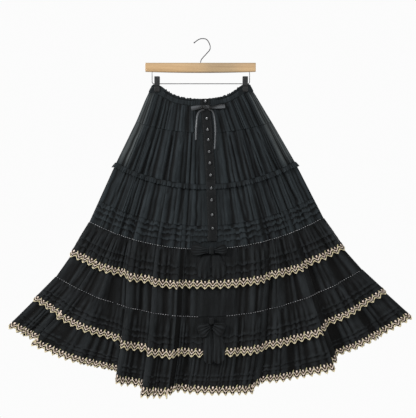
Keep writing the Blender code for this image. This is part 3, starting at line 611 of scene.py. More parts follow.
def ramp(material, value, *stops):
    """A colour ramp: each stop is a place and a colour, or a place and one number for a grey."""
    node = new_node(material, "ShaderNodeValToRGB", {"Fac": value})
    while len(node.color_ramp.elements) < len(stops):
        node.color_ramp.elements.new(0.5)
    for element, (place, colour) in zip(node.color_ramp.elements, stops):
        element.position = place
        element.color = (*colour, 1) if isinstance(colour, tuple) else (colour, colour, colour, 1)
    return node.outputs["Color"]


def mixed(material, first, second, factor=1.0, way="MULTIPLY"):
    """One colour multiplied by a second, or blended into it."""
    inputs = {"A": first, "B": second, "Factor": factor}
    return new_node(material, "ShaderNodeMix", inputs, data_type="RGBA", blend_type=way).outputs["Result"]


def between(material, source, axis, low, high):
    """0 to 1 between two places along an axis."""
    parts = new_node(material, "ShaderNodeSeparateXYZ", {"Vector": source})
    inputs = {"Value": parts.outputs[axis], "From Min": low, "From Max": high}
    return new_node(material, "ShaderNodeMapRange", inputs).outputs["Result"]


def bump(material, height, distance, strength, *before):
    inputs = {"Height": height, "Distance": distance, "Strength": strength}
    if before:
        inputs["Normal"] = before[0]
    return new_node(material, "ShaderNodeBump", inputs).outputs["Normal"]


# A lighter tone painted on the cloth for light that would show through it from behind.
PAINTED_BACKLIGHT_TONE = (0.080, 0.091, 0.093, 1)


def cotton(name, dark, light, crinkle=0.6, scales=(260.0, 34.0), painted_fold_shades=(0.12, 0.62, 1.0)):
    """Fine crinkled cotton lawn: crinkles run down the cloth, with a plain weave over them. Its colour
    carries painted shade in the hollows of its folds and painted light on their ridges.
    """
    material, shader = new_material(name, {
        "Roughness": 0.82, "Specular IOR Level": 0.20, "Sheen Weight": 0.06, "Sheen Roughness": 0.45,
        "Sheen Tint": (0.85, 0.92, 0.95, 1),
    })
    cloth = cloth_place(material)
    crinkles = stretched_noise(material, cloth, (*scales, 1.0))
    patches = stretched_noise(material, cloth, (30.0, 9.0, 1.0), 4.0)
    uneven = math_node(material, "MULTIPLY_ADD", crinkles, 0.55, patches)
    tone = ramp(material, uneven, (0.56, dark), (0.94, light))
    # Painted backlight: the lighter tone on the sides of the upper tiers.
    tone = mixed(material, tone, PAINTED_BACKLIGHT_TONE, attribute(material, "painted_backlight"), "MIX")
    # Painted shade in the hollows of the folds and painted light on their ridges, read from the ridge
    # attribute.
    painted_fold_shade = ramp(material, attribute(material, "ridge"), *zip((0.12, 0.5, 0.95), painted_fold_shades))
    link(material, mixed(material, tone, painted_fold_shade), shader.inputs["Base Color"])
    weave_size = {"Vector": cloth, "Scale": 320.0}
    weave = new_node(material, "ShaderNodeTexWave", weave_size, bands_direction="DIAGONAL")
    rough = bump(material, crinkles, 0.0016, crinkle)
    link(material, bump(material, weave.outputs["Fac"], 0.0002, 0.25, rough), shader.inputs["Normal"])
    return material


# Stage, camera and light

VIEW_MIDDLE = (0.019, -0.537)
VIEW_HEIGHT = 1.321
VIEW_DISTANCE = 3.5
FLOOR_Z = -1.55
FLOOR_RADIUS = 1.8
WORLD_LIGHT = 0.30
BACKDROP_WHITE = 0.97
# Lamps: place, size, power
LIGHTS = {
    "key": ((-2.9, -1.7, 0.7), (0.9, 0.9), 78.0),
    "fill": ((2.6, -2.4, 0.3), (1.4, 1.4), 30.0),
    "front": ((0.3, -3.4, 1.4), (0.7, 0.7), 26.0),
    "back left": ((-2.4, 2.2, 0.6), (1.0, 1.0), 50.0),
    "back right": ((2.4, 2.4, 0.4), (1.2, 1.2), 30.0),
}


def set_the_stage():
    camera_data = bpy.data.cameras.new("camera")
    camera_data.sensor_width = 36.0
    camera_data.sensor_fit = "AUTO"
    camera_data.lens = camera_data.sensor_width * VIEW_DISTANCE / VIEW_HEIGHT
    camera_data.clip_end = 50.0
    camera = new_object("camera", camera_data)
    camera.location = (VIEW_MIDDLE[0], -VIEW_DISTANCE, VIEW_MIDDLE[1])
    camera.rotation_euler = (math.pi / 2, 0, 0)
    bpy.context.scene.camera = camera

    bm = bmesh.new()
    bmesh.ops.create_circle(bm, cap_ends=True, segments=96, radius=FLOOR_RADIUS)
    bmesh.ops.translate(bm, vec=(0, 0, FLOOR_Z), verts=bm.verts)
    floor = mesh_object("floor", bm)
    material, _ = new_material("pale floor", {"Base Color": (0.86, 0.86, 0.85, 1), "Roughness": 0.9})
    floor.data.materials.append(material)

    world = bpy.data.worlds.new("studio")
    world.use_nodes = True
    world_nodes, links = world.node_tree.nodes, world.node_tree.links
    soft_light, backdrop = world_nodes["Background"], world_nodes.new("ShaderNodeBackground")
    for node, strength in ((soft_light, WORLD_LIGHT), (backdrop, BACKDROP_WHITE)):
        node.inputs["Color"].default_value = (1.0, 1.0, 1.0, 1)
        node.inputs["Strength"].default_value = strength
    seen = world_nodes.new("ShaderNodeLightPath")
    both = world_nodes.new("ShaderNodeMixShader")
    links.new(seen.outputs["Is Camera Ray"], both.inputs["Fac"])
    links.new(soft_light.outputs["Background"], both.inputs[1])
    links.new(backdrop.outputs["Background"], both.inputs[2])
    links.new(both.outputs["Shader"], world_nodes["World Output"].inputs["Surface"])
    bpy.context.scene.world = world
    bpy.context.scene.view_settings.view_transform = "Standard"

    for name, (place, size, power) in LIGHTS.items():
        lamp_data = bpy.data.lights.new(name, "AREA")
        lamp_data.shape = "RECTANGLE"
        lamp_data.size, lamp_data.size_y = size
        lamp_data.energy = power
        lamp = new_object(name, lamp_data)
        lamp.location = place
        aim = Vector((VIEW_MIDDLE[0], 0, VIEW_MIDDLE[1])) - lamp.location
        lamp.rotation_euler = aim.to_track_quat("-Z", "Y").to_euler()


set_the_stage()


# Cloth pieces

COTTON = cotton("black cotton", (0.0100, 0.0134, 0.0155), (0.0262, 0.0337, 0.0382))
COTTON_LOW = cotton(
    "black cotton of the lower tiers", (0.0038, 0.0049, 0.0056), (0.0178, 0.0210, 0.0232),
    painted_fold_shades=(0.03, 0.46, 1.0),
)


def painted_backlight_sides(place, level):
    """How much painted backlight the sides of the upper tiers get: a lighter tone where light would show
    through the thin cloth.
    """
    edge = smooth((np.abs(place) - 0.86) / 0.05) * (1 - 0.6 * smooth((np.abs(place) - 0.985) / 0.015))
    return edge * smooth((level - 0.9) / 0.3) * smooth((3.1 - level) / 0.4)


def waistband_form(side, share, down):
    heading = smooth(1 - down / 0.30)
    fine = 0.0034 * pleats(share, down, 46, 11 + side) * (0.45 + 0.75 * heading)
    casing = 0.0012 * np.sin(math.pi * np.clip((down - 0.30) / 0.70, 0, 1))
    pinch = -0.0020 * np.exp(-(((down - 0.30) / 0.05) ** 2)) - 0.0016 * np.exp(-(((down - 0.97) / 0.05) ** 2))
    place, out = tier_points("waistband", side, share, down, down, fine)
    quiet = calm("waistband", place, down, side)
    if side == FRONT:
        spot = skirt_form(place, down, side, 0.0)
        beside_placket = smooth((np.abs(spot[..., 0] - axis_x(spot[..., 2])) - 0.0165) / 0.006)
        out = out + 0.6 * fine * beside_placket * clear_of_clips(spot) * (1 - quiet)
    points = skirt_form(place, down, side, out + (casing + pinch) * quiet)
    points[:, 2] += 0.0021 * heading * np.maximum(quiet, 0.3) * wobble(share, 31 + side, 56)
    points[:, 2] -= 0.0020 * heading * smooth((np.abs(place) - 0.96) / 0.04)
    return points, {"painted_backlight": 0.0}


# Upper tiers: top level, length in levels, gathers at the seams (place down the tier, depth, count, reach,
# seed), pleats (depth, count, seed, share of them at the top, where they are full), how far all is set back
GATHERS = {
    "yoke": (
        1.0, 1.0, ((0, 0.0022, 64, 0.30, 21), (1, 0.0012, 70, 0.12, 26)),
        (0.0044, 46, 23, 0.45, 0.3), 0.0016,
    ),
    "tier_1": (
        2.0, 1.0, ((0, 0.0022, 78, 0.22, 41),),
        (0.0050, 44, 43, 0.35, 0.4), 0.0022,
    ),
    "tier_2": (
        3.0, 0.635, ((0, 0.0026, 110, 0.30, 51), (1, 0.0014, 120, 0.10, 56)),
        (0.0046, 50, 53, 0.35, 0.4), 0.0024,
    ),
}


def upper_form(name, side, share, down):
    """A gathered tier of the upper skirt: fine gathers at its seams and pleats down it."""
    top, length, seams, (depth, count, seed, start, full), set_back = GATHERS[name]
    level = top + length * down
    rise = start + (1 - start) * smooth(down / full)
    out = depth * pleats(share, down, count, seed + side) * rise - set_back
    for seam, depth, count, reach, seed in seams:
        out = out + depth * np.exp(-np.abs(down - seam) / reach) * pleats(share, down, count, seed + side)
    place, out = tier_points(name, side, share, level, down, out)
    # Painted backlight on the sides of the upper tiers, none on tier 2.
    painted_backlight = 0.0 if name == "tier_2" else painted_backlight_sides(place, level)
    return skirt_form(place, level, side, out), {"painted_backlight": painted_backlight}


def tooth(distance, height):
    """A tuck: rises towards its foot, where it drops back sharply. 1 at most, and below 0 under the foot."""
    part = distance / height
    rise = np.where((part > -1) & (part <= 0), np.clip(1 + part, 0, 1) ** 1.4, 0.0)
    return rise - np.where(part > 0, 0.40 * np.exp(-part / 0.35), 0.0)


# Tucks: places down the piece, height, seed, slow and quick wander of their lines (depth and finest pitch)
TUCKS = {
    "tuck_band": ((0.18, 0.41, 0.66), 0.20, 61, (0.030, 34), (0.016, 96)),
    "a": ((0.44, 0.62), 0.11, 97, (0.016, 40), (0.011, 104)),
    "b": ((0.50, 0.64), 0.11, 97, (0.016, 40), (0.011, 104)),
    "c": ((0.745, 0.805), 0.045, 117, (0.008, 44), (0.0055, 112)),
}


def tucks(name, side, share, part):
    """The tucks of a piece, 1 at most on the foot of each."""
    places, height, seed, slow, quick = TUCKS[name]
    ridge = np.zeros_like(share)
    for number, middle in enumerate(places):
        first = seed + number + side
        sag = slow[0] * wobble(share, first, slow[1]) + quick[0] * wobble(share, first + 100, quick[1])
        ridge += tooth(part - middle - sag, height)
    return ridge


def tuck_band_form(side, share, down):
    level = 3.635 + 0.365 * down
    ruched = 0.0020 + 0.0028 * pleats(share, down, 88, 64 + side)
    gathers = 0.0022 * pleats(share, down, 84, 66 + side)
    fine = tucks("tuck_band", side, share, down) * ruched + gathers - 0.0014
    place, out = tier_points("tier_2", side, share, level, 0.63 + 0.37 * down, fine, fine=2.0)
    return skirt_form(place, level, side, out), {"painted_backlight": 0.0}


def frill_form(side, share, down):
    drop = (0.0156 + 0.0018 * wobble(share, 71 + side, 90)) * down
    level = 3.0 + (drop - 0.0012) / level_length(3.0)
    place, out = tier_points("tier_2", side, share, level, 0.05 * down, 0.0)
    quiet = calm("tier_2", place, level, side)
    wave = pleats(share, 0 * down, 74, 73 + side)
    spread = LAP + 0.0012 + down * (0.0020 + 0.0056 * wave * np.maximum(quiet, 0.3)) - 0.0010 * down * down
    return skirt_form(place, level, side, out + spread), {"painted_backlight": 0.0}


def tier_3_form(side, share, down):
    level = 4.0 + 2.0 * down
    shown = smooth((down - 0.42) / 0.12)
    near_seam = np.exp(-(1 - down) / 0.05)
    gathers = 0.0016 * near_seam * pleats(share, down, 150, 85 + side)
    fine = shown * (0.0052 * pleats(share, down, 40, 83 + side) + gathers - 0.0026)
    place, out = tier_points("tier_3", side, share, level, down, fine)
    return skirt_form(place, level, side, out), {"painted_backlight": 0.0}


# Fine gathers and pleats of a ruffle
RUFFLE_PLEATS = {"a": (118, 60), "b": (126, 70)}


def ruffle_out(letter, side, share, part):
    """Place, level and distance out of a ruffle, at a part of the way from its seam to its lace's foot."""
    tier, top, hem, _, stand_off, more_wave = RUFFLES[letter]
    level = top + 0.002 + part * (hem_level(letter, side, share, hem) - top)
    wave_down = (level - top) / 2.0 if letter == "a" else (level - top) / FLOUNCE_LEVELS
    place, depth, near = folded(share, level, side)
    quiet = calm("ruffle", place, level, side)
    count, phase = WAVES[tier][:2]
    wave = np.cos(2 * math.pi * count * share + phase) * seam_edge(share, WAVE_EDGE)
    away = part * (stand_off + more_wave * quiet * wave) * (0.4 + 0.6 * seam_edge(share, RUFFLE_EDGE))
    fine_count, medium_count = RUFFLE_PLEATS[letter]
    seed = side + ord(letter)
    fine = 0.0034 * np.exp(-part / 0.22) * pleats(share, part, fine_count, 91 + seed)
    medium = 0.0062 * pleats(share, part, medium_count, 94 + seed) * smooth(part / 0.35)
    medium = medium * (1 - 0.55 * smooth((part - 0.7) / 0.15))
    lines = creases(f"ruffle_{letter}", side, share, np.clip(part, 0, 1)) * quiet * smooth(part / 0.12)
    ruched = tucks(letter, side, share, part) * (0.0022 + 0.0030 * pleats(share, part, 118, 99 + side))
    more = lines + (fine + medium) * np.maximum(quiet, 0.25) + ruched * np.maximum(quiet, 0.5)
    out = wall_out(tier, share, wave_down, depth, quiet, near) + LAP
    return place, level, out + away + more * beside_folds(share, near)


def ruffle_form(letter, side, share, down):
    place, level, out = ruffle_out(letter, side, share, down * RUFFLES[letter][3])
    return skirt_form(place, level, side, out), {"painted_backlight": 0.0}


def flounce_out(side, share, part):
    """Place, level and distance out of the flounce, at a part of the way from its seam to its lace's foot."""
    bottom = hem_level("c", side, share, 8.0)
    level = np.where(part < 0.5, 6.0 + 2 * part, 7.0 + (part - 0.5) * 2 * (bottom - 7.0))
    place, depth, near = folded(share, level, side)
    quiet = calm("flounce_c", place, level, side)
    medium = smooth((part - 0.42) / 0.10) * (0.0075 * pleats(share, part, 66, 111 + side) - 0.0035)
    ruched = tucks("c", side, share, part) * (0.0024 + 0.0032 * pleats(share, part, 118, 119 + side))
    more = creases("flounce_c", side, share, part) * quiet + (medium + ruched) * np.maximum(quiet, 0.6)
    wave_down = np.clip(part * 2 / FLOUNCE_LEVELS, 0, 1.15)
    out = wall_out("flounce_c", share, wave_down, depth, quiet, near)
    return place, level, out + more * beside_folds(share, near)


FLOUNCE_FOOT = 0.5 + (FLOUNCE_CLOTH - 7.0) / 2


def flounce_form(side, share, down):
    place, level, out = flounce_out(side, share, down * FLOUNCE_FOOT)
    return skirt_form(place, level, side, out), {"painted_backlight": 0.0}


# Columns and rows of a front piece, width of its cloth before it was gathered, its length, form, material
CLOTH_PIECES = {
    "waistband": (280, 22, 0.40, 0.03, waistband_form, COTTON),
    "yoke": (250, 24, 0.52, 0.098, partial(upper_form, "yoke"), COTTON),
    "tier_1": (300, 36, 0.70, 0.17, partial(upper_form, "tier_1"), COTTON),
    "frill_1": (380, 7, 0.86, 0.0175, frill_form, COTTON),
    "tier_2": (380, 30, 0.90, 0.135, partial(upper_form, "tier_2"), COTTON),
    "tuck_band": (400, 34, 0.98, 0.084, tuck_band_form, COTTON),
    "tier_3": (320, 30, 1.22, 0.215, tier_3_form, COTTON_LOW),
    "ruffle_a": (430, 34, 1.22, 0.1, partial(ruffle_form, "a"), COTTON_LOW),
    "ruffle_b": (450, 35, 1.45, 0.108, partial(ruffle_form, "b"), COTTON_LOW),
    "flounce_c": (430, 36, 1.66, 0.218, flounce_form, COTTON_LOW),
}
BACK_FINENESS = 0.64
# Share of a piece's length that a ruffle hides
HIDDEN = {"tier_3": 0.40, "flounce_c": 0.45}


def build_cloth():
    for name, (columns, rows, width, length, form, material) in CLOTH_PIECES.items():
        for side_name, side in SIDES:
            fineness = 1.0 if side == FRONT else BACK_FINENESS
            piece = cloth_grid(
                f"{name}_{side_name}_cloth", round(columns * fineness), round(rows * fineness) + 2,
                partial(form, side), side, length, width, HIDDEN.get(name, 0.0),
            )
            thicken(piece)
            finish_piece(piece, material, "black_cotton", f"{name}_{side_name}")


build_cloth()


# Lace: a net strip with pointed foot, satin stitched zigzags, buds and leaves

LACE_REPEAT = 0.0245
LACE_HEIGHT = 0.028
LACE_NOTCH = 0.60
# Zigzag threads: height in the notches and at the points, half width, thickness, tone
LACE_THREADS = (
    (0.560, 0.940, 0.053, 0.0012, 0.0),
    (0.700, 0.330, 0.030, 0.0005, 0.25),
    (0.260, 0.630, 0.053, 0.0012, 1.0),
)
RUFFLE_LACE_TOP = 0.752
FLOUNCE_LACE_TOP = FLOUNCE_FOOT - 0.012
LACE_LIFT = 0.0008
NET_DEPTH = 0.0005
THREAD_DEPTH = 0.0017
THREAD_LIFT = 0.0004
REPEAT_COLUMNS = 6


def lace_out(letter, side, share, down):
    """Place, level and distance out of a point of the lace, from its top to its points."""
    if letter == "c":
        return flounce_out(side, share, FLOUNCE_LACE_TOP + down * (1 - FLOUNCE_LACE_TOP))
    return ruffle_out(letter, side, share, RUFFLE_LACE_TOP + down * (1 - RUFFLE_LACE_TOP))


def lace_track(letter, side):
    """Shares of the cloth and how far along the lace they lie."""
    shares = np.linspace(0.001, 0.999, 3000)
    place, level, out = lace_out(letter, side, shares, np.full_like(shares, 0.6))
    return shares, travelled(skirt_form(place, level, side, out))


def zigzag(along):
    """1 at the points of the lace and 0 in its notches."""
    part = along % 1.0
    return 0.3 * (1 - np.abs(2 * part - 1)) + 0.7 * (1 - np.cos(2 * math.pi * part)) / 2


def build_lace(letter, side_name, side):
    shares, lengths = lace_track(letter, side)
    repeats = int(round(lengths[-1] / LACE_REPEAT))

    def lay(along, down, lift):
        share = np.interp(along / repeats * lengths[-1], lengths, shares)
        place, level, out = lace_out(letter, side, share, down)
        return skirt_form(place, level, side, out + lift + LACE_LIFT)

    def net(share, down):
        along = share * repeats
        foot = LACE_NOTCH + (1 - LACE_NOTCH) * zigzag(along)
        return lay(along, down * foot, 0.0), {"painted_backlight": 0.0}

    name = f"lace_{letter}_{side_name}"
    length = repeats * LACE_REPEAT
    columns = repeats * REPEAT_COLUMNS
    ground = thicken(cloth_grid(f"{name}_net", columns, 4, net, side, LACE_HEIGHT, length), NET_DEPTH)
    threads = []
    for number, (notch, point, half, thick, tone) in enumerate(LACE_THREADS):
        def band(share, down):
            along = share * repeats
            across = 2 * down - 1
            height = notch + (point - notch) * zigzag(along) + across * half
            return lay(along, height, THREAD_LIFT + thick * (1 - across ** 2)), {"tone": tone}

        thread_name = f"{name}_zigzag_{number + 1}"
        thread = cloth_grid(thread_name, columns, 2, band, side, 2 * half * LACE_HEIGHT, length)
        threads.append(thicken(thread, THREAD_DEPTH, -1.0))
    threads.append(build_motifs(name, repeats, lay, side))
    for thread in threads:
        finish_piece(thread, EMBROIDERY, "embroidered_lace")
    finish_piece(ground, NET, "embroidered_lace", name)


# Raised motifs of one repeat: place along, height, half width, half height, lean in degrees, tone, and 0 for
# even repeats or 1 for odd ones
MOTIFS = (
    ("bud", 0.50, 0.215, 0.0031, 0.0036, 0, 1.0, 0),
    ("bud", 0.50, 0.245, 0.0024, 0.0030, 15, 1.0, 1),
    ("leaf", 0.97, 0.165, 0.0021, 0.0054, -26, 0.5, 1),
    ("leaf", 0.03, 0.175, 0.0017, 0.0042, 24, 0.0, 1),
    ("bead", 0.50, 0.790, 0.0013, 0.0022, 0, 1.0, 0),
    ("bead", 0.50, 0.790, 0.0013, 0.0022, 0, 1.0, 1),
    ("twig", 0.00, 0.41, 0.0012, 0.0022, 0, 0.5, 0),
    ("twig", 0.00, 0.41, 0.0012, 0.0022, 0, 0.5, 1),
)
MOTIF_DEPTH = 0.0009
MOTIF_LIFT = 0.0007


def build_motifs(name, repeats, lay, side):
    """Every bud, leaf and twig of a lace in one mesh, each a small closed cushion of thread."""
    bm = bmesh.new()
    layer = bm.verts.layers.float.new("tone")
    for number in range(repeats):
        for kind, along, height, half_width, half_height, lean, tone, odd in MOTIFS:
            if number % 2 != odd or (kind == "twig" and number == 0):
                continue
            made = bmesh.ops.create_uvsphere(bm, u_segments=6, v_segments=4, radius=1.0)
            size = Matrix.Diagonal((half_width, half_height, MOTIF_DEPTH, 1))
            turn = Matrix.Rotation(math.radians(lean), 4, "Z") @ size
            for vertex in made["verts"]:
                if kind == "leaf":
                    vertex.co.x *= 1 - abs(vertex.co.y) ** 2 * 0.5
                spot = turn @ vertex.co
                vertex.co = (number + along + spot.x / LACE_REPEAT, height - spot.y / LACE_HEIGHT, spot.z)
                vertex[layer] = tone
    thing = mesh_object(f"{name}_motifs", bm)
    along, down, lift = read_points(thing.data).T
    if side == FRONT:
        thing.data.flip_normals()
    write_points(thing.data, lay(np.clip(along, 0.0, repeats), np.clip(down, 0.0, 1.0), MOTIF_LIFT + lift))
    return thing


def embroidery():
    """Satin stitch in beige, olive, gold and pink thread, told apart by the piece's tone."""
    material, shader = new_material("embroidery thread", {"Roughness": 0.5, "Sheen Weight": 0.3})
    colours = ramp(
        material, attribute(material, "tone"),
        (0.0, (0.90, 0.80, 0.50)), (0.25, (0.36, 0.25, 0.14)), (0.5, (0.60, 0.56, 0.29)),
        (1.0, (1.0, 0.83, 0.70)),
    )
    strand = noise(material, object_place(material), 900.0, 2.0)
    shade = ramp(material, strand, (0.35, (0.45, 0.40, 0.34)), (0.6, 1.0))
    link(material, mixed(material, colours, shade, 0.40), shader.inputs["Base Color"])
    link(material, bump(material, strand, 0.0004, 0.6), shader.inputs["Normal"])
    return material


EMBROIDERY = embroidery()
NET = cotton("black net", (0.008, 0.008, 0.008), (0.020, 0.019, 0.018), 0.7, (500.0, 500.0))

for lace_letter in "abc":
    for lace_side_name, lace_side in SIDES:
        build_lace(lace_letter, lace_side_name, lace_side)


# Stitches


def stitching_thread(name, scale, dark, light):
    material, shader = new_material(name, {"Roughness": 0.6})
    tone = noise(material, object_place(material), scale)
    link(material, ramp(material, tone, dark, light), shader.inputs["Base Color"])
    return material


PALE_THREAD = stitching_thread(
    "pale stitching thread", 60.0, (0.35, (0.14, 0.145, 0.155)), (0.65, (0.48, 0.48, 0.49)),
)
DARK_THREAD = stitching_thread(
    "dark stitching thread", 200.0, (0.3, (0.020, 0.022, 0.024)), (0.7, (0.060, 0.064, 0.068)),
)

# Ladder stitches: tier that each runs along, its level, how far down the tier that is, how far out it lies
LADDERS = {
    "ladder_stitch_1": ("tier_2", 3.988, 0.99, 0.0024),
    "ladder_stitch_2": ("tier_3", 5.984, 0.99, 0.0026),
}
LADDER_PITCH = 0.0078
LADDER_STITCH = (0.0027, 0.0006, 0.0009)
# Half the length of each ladder stitch that a bow hides
BEHIND_BOW = 0.045


def build_stitches(name, rows, half):
    """Small rounded stitches of one half size, one for each middle and direction of rows, in one mesh."""
    bm = bmesh.new()
    for middle, way in rows:
        made = bmesh.ops.create_uvsphere(bm, u_segments=6, v_segments=4, radius=1.0)
        along = Vector(way).normalized()
        outward = Vector((0, -1, 0))
        beside = along.cross(outward).normalized()
        outward = beside.cross(along)
        turn = Matrix((along * half[0], outward * half[1], beside * half[2])).transposed().to_4x4()
        bmesh.ops.transform(bm, matrix=Matrix.Translation(Vector(middle)) @ turn, verts=made["verts"])
    bmesh.ops.recalc_face_normals(bm, faces=bm.faces)
    return mesh_object(name, bm)


def build_ladders():
    for name, (tier, level, down, lift) in LADDERS.items():
        for side_name, side in SIDES:
            shares = np.linspace(0.004, 0.996, 4000)
            levels = np.full_like(shares, level)
            place, out = tier_points(tier, side, shares, levels, np.full_like(shares, down))
            points = skirt_form(place, levels, side, out + lift)
            lengths = travelled(points)
            rows = []
            for middle in np.arange(LADDER_PITCH, lengths[-1] - LADDER_PITCH, LADDER_PITCH):
                spot = along_line(middle, lengths, points)
                ahead = along_line(middle + 0.002, lengths, points)
                behind_bow = side == FRONT and abs(spot[0] - axis_x(spot[2])) < BEHIND_BOW
                if not behind_bow:
                    rows.append((spot, Vector(ahead) - Vector(spot)))
            ladder = build_stitches(f"{name}_{side_name}", rows, LADDER_STITCH)
            finish_piece(ladder, PALE_THREAD, "black_cotton")


build_ladders()


# Trim down the middle of the front

# How many layers of cloth the placket lies on, by level
PLACKET_LAPS = ((0.03, 1), (2.9, 1), (2.97, 2), (3.10, 2), (3.17, 1), (3.86, 1))
PLACKET_TOP, PLACKET_FOOT = -0.1915, -0.6385
PLACKET_LENGTH = 0.447
PLACKET_DEPTH = 0.0009
# Where its two lines of stitches run, in shares of its width from its middle
PLACKET_SEAM = 0.40
PLACKET_PITCH = 0.0042
PLACKET_STITCH = (0.0014, 0.0004, 0.0004)


def middle_level(z):
    return np.interp(-np.asarray(z, float), -SEAM_TABLE[:, 4], np.arange(len(SEAM_TABLE)))


def front_y(x, z):
    """Where the innermost cloth of the front lies near its middle, between the two folds beside it."""
    level = middle_level(z)
    sizes = seam_sizes(level)
    place = (x - sizes[1]) / sizes[0]
    down = np.clip((level - 4) / 4, 0, 1)
    edges = []
    for (upper, lower, _, depth), share, way in ((FOLDS[FRONT][3], -0.45, 1), (FOLDS[FRONT][4], 0.55, -1)):
        half = RETURN_HALF_WIDTH / sizes[0]
        edges.append((upper + (lower - upper) * down + way * half, share * depth * sizes[6]))
    (left, sunk), (right, proud) = edges
    depth = sunk + (proud - sunk) * np.clip((place - left) / (right - left), 0, 1)
    return skirt_form(place, level, FRONT, 0.0)[..., 1] - depth


def placket_lift(z):
    return np.interp(middle_level(z), *zip(*PLACKET_LAPS)) * LAP


def placket_form(share, down):
    z = PLACKET_TOP + (PLACKET_FOOT - PLACKET_TOP) * down
    across = share - 0.5
    edge = np.exp(-(((np.abs(across) - 0.5) / 0.03) ** 2))
    groove = np.exp(-(((np.abs(across) - PLACKET_SEAM) / 0.022) ** 2))
    crinkle = 0.0003 * wobble(down + 0.02 * wobble(share, 141, 6), 142, 160) * (1 - edge)
    x = axis_x(z) + across * PLACKET_WIDTH
    y = front_y(x, z) - placket_lift(z) - 0.0006 + 0.0010 * edge + 0.0005 * groove - crinkle
    return np.stack([x, y, z], -1), {"painted_backlight": 0.0}


PLACKET_COTTON = cotton(
    "black cotton of the placket", (0.007, 0.008, 0.009), (0.017, 0.019, 0.020), 0.9, (420.0, 420.0),
)


def build_placket():
    strip = cloth_grid("placket_cloth", 20, 110, placket_form, FRONT, PLACKET_LENGTH, PLACKET_WIDTH)
    finish_piece(thicken(strip, PLACKET_DEPTH), PLACKET_COTTON, "black_cotton", "placket")
    rows = []
    for across in (-PLACKET_SEAM, PLACKET_SEAM):
        for z in np.arange(PLACKET_TOP - 0.003, PLACKET_FOOT + 0.002, -PLACKET_PITCH):
            x = float(axis_x(z)) + across * PLACKET_WIDTH
            y = float(front_y(np.array(x), np.array(z)) - placket_lift(z)) - 0.0008
            ahead = float(axis_x(z - 0.002)) + across * PLACKET_WIDTH
            rows.append(((x, y, z), Vector((ahead - x, 0, -0.002))))
    line = finish_piece(build_stitches("placket_stitches", rows, PLACKET_STITCH), DARK_THREAD, "black_cotton")


build_placket()


# Buttons: a low dome in a raised rim, turned round

# Radius and depth, from the front to the back
BUTTON_PROFILE = (
    (0.0, -1.00), (0.30, -0.97), (0.55, -0.88), (0.70, -0.74), (0.76, -0.66), (0.82, -0.72), (0.90, -0.70),
    (0.97, -0.52), (1.00, -0.20), (0.98, 0.25), (0.90, 0.70), (0.60, 0.95), (0.0, 1.0),
)
BUTTON_COUNT = 11
BUTTON_STEPS = 40


def turned(name, profile, radius, half_depth, middle):
    """A round piece about an axis along Y: profile rows are radius and depth, from its front to its back."""
    bm = bmesh.new()
    corners = [bm.verts.new((r * radius, y * half_depth, 0)) for r, y in profile]
    edges = [bm.edges.new(pair) for pair in zip(corners, corners[1:])]
    bmesh.ops.spin(
        bm, geom=[*corners, *edges], cent=(0, 0, 0), axis=(0, 1, 0), angle=2 * math.pi,
        steps=BUTTON_STEPS, use_merge=True,
    )
    bmesh.ops.remove_doubles(bm, verts=bm.verts, dist=1e-6)
    bmesh.ops.recalc_face_normals(bm, faces=bm.faces)
    bmesh.ops.translate(bm, vec=middle, verts=bm.verts)
    thing = mesh_object(name, bm)
    x, _, z = read_points(thing.data).T
    write_attribute(thing.data, "rim", np.hypot(x - middle.x, z - middle.z) / radius)
    return thing


def button_gloss():
    """Smoky pearl: swirled on the dome, with painted shade on the rim, where its coat and specular fade as
    well.
    """
    shine = {"Roughness": 0.22, "Coat IOR": 1.8, "Coat Roughness": 0.10}
    material, shader = new_material("smoky button", shine)
    swirl = noise(material, object_place(material), 170.0, 4.0)
    # Painted shade on the rim: darker colour there, with less coat and specular.
    painted_rim_shade = ramp(material, attribute(material, "rim"), (0.58, 1.0), (0.80, 0.16), (1.0, 0.08))
    pearl = ramp(material, swirl, (0.35, (0.014, 0.015, 0.017)), (0.7, (0.13, 0.137, 0.145)))
    link(material, mixed(material, pearl, painted_rim_shade), shader.inputs["Base Color"])
    link(material, painted_rim_shade, shader.inputs["Coat Weight"])
    link(material, painted_rim_shade, shader.inputs["Specular IOR Level"])
    link(material, bump(material, swirl, 0.0002, 0.15), shader.inputs["Normal"])
    return material


def build_buttons():
    gloss = button_gloss()
    for number in range(1, BUTTON_COUNT + 1):
        node = f"button_{number:02d}"
        low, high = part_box(node)
        half = (high - low) / 2
        button = turned(f"{node}_turned", BUTTON_PROFILE, half.x, half.y, (low + high) / 2)
        finish_piece(button, gloss, "black_button", node)


build_buttons()


# Satin ribbon

# Tails: width, and the way that each hangs from the knot
RIBBON_TAILS = {
    "left": (0.0055, (
        (0.0080, -0.0225, -0.2252), (0.0025, -0.0240, -0.2264), (-0.0040, -0.0248, -0.2288),
        (-0.0100, -0.0252, -0.2335), (-0.0143, -0.0258, -0.2430), (-0.0163, -0.0262, -0.2560),
        (-0.0176, -0.0266, -0.2720), (-0.0186, -0.0270, -0.2890), (-0.0192, -0.0273, -0.3050),
        (-0.0194, -0.0276, -0.3200),
    )),
    "right": (0.0045, (
        (0.0215, -0.0225, -0.2252), (0.0268, -0.0240, -0.2264), (0.0320, -0.0250, -0.2296),
        (0.0358, -0.0257, -0.2375), (0.0386, -0.0264, -0.2500), (0.0405, -0.0270, -0.2650),
        (0.0418, -0.0275, -0.2800), (0.0420, -0.0279, -0.2970), (0.0412, -0.0283, -0.3150),
        (0.0402, -0.0287, -0.3330), (0.0396, -0.0291, -0.3490),
    )),
}
RIBBON_LOOP_TIPS = {"left": (-0.0335, -0.2215), "right": (0.0725, -0.2145)}
RIBBON_ROOT_HEIGHTS = {"left": -0.2145, "right": -0.2185}
RIBBON_WIDTHS = {"left": 0.0135, "right": 0.0120}
TAIL_DEPTH = 0.00035
LOOP_DEPTH = 0.0005


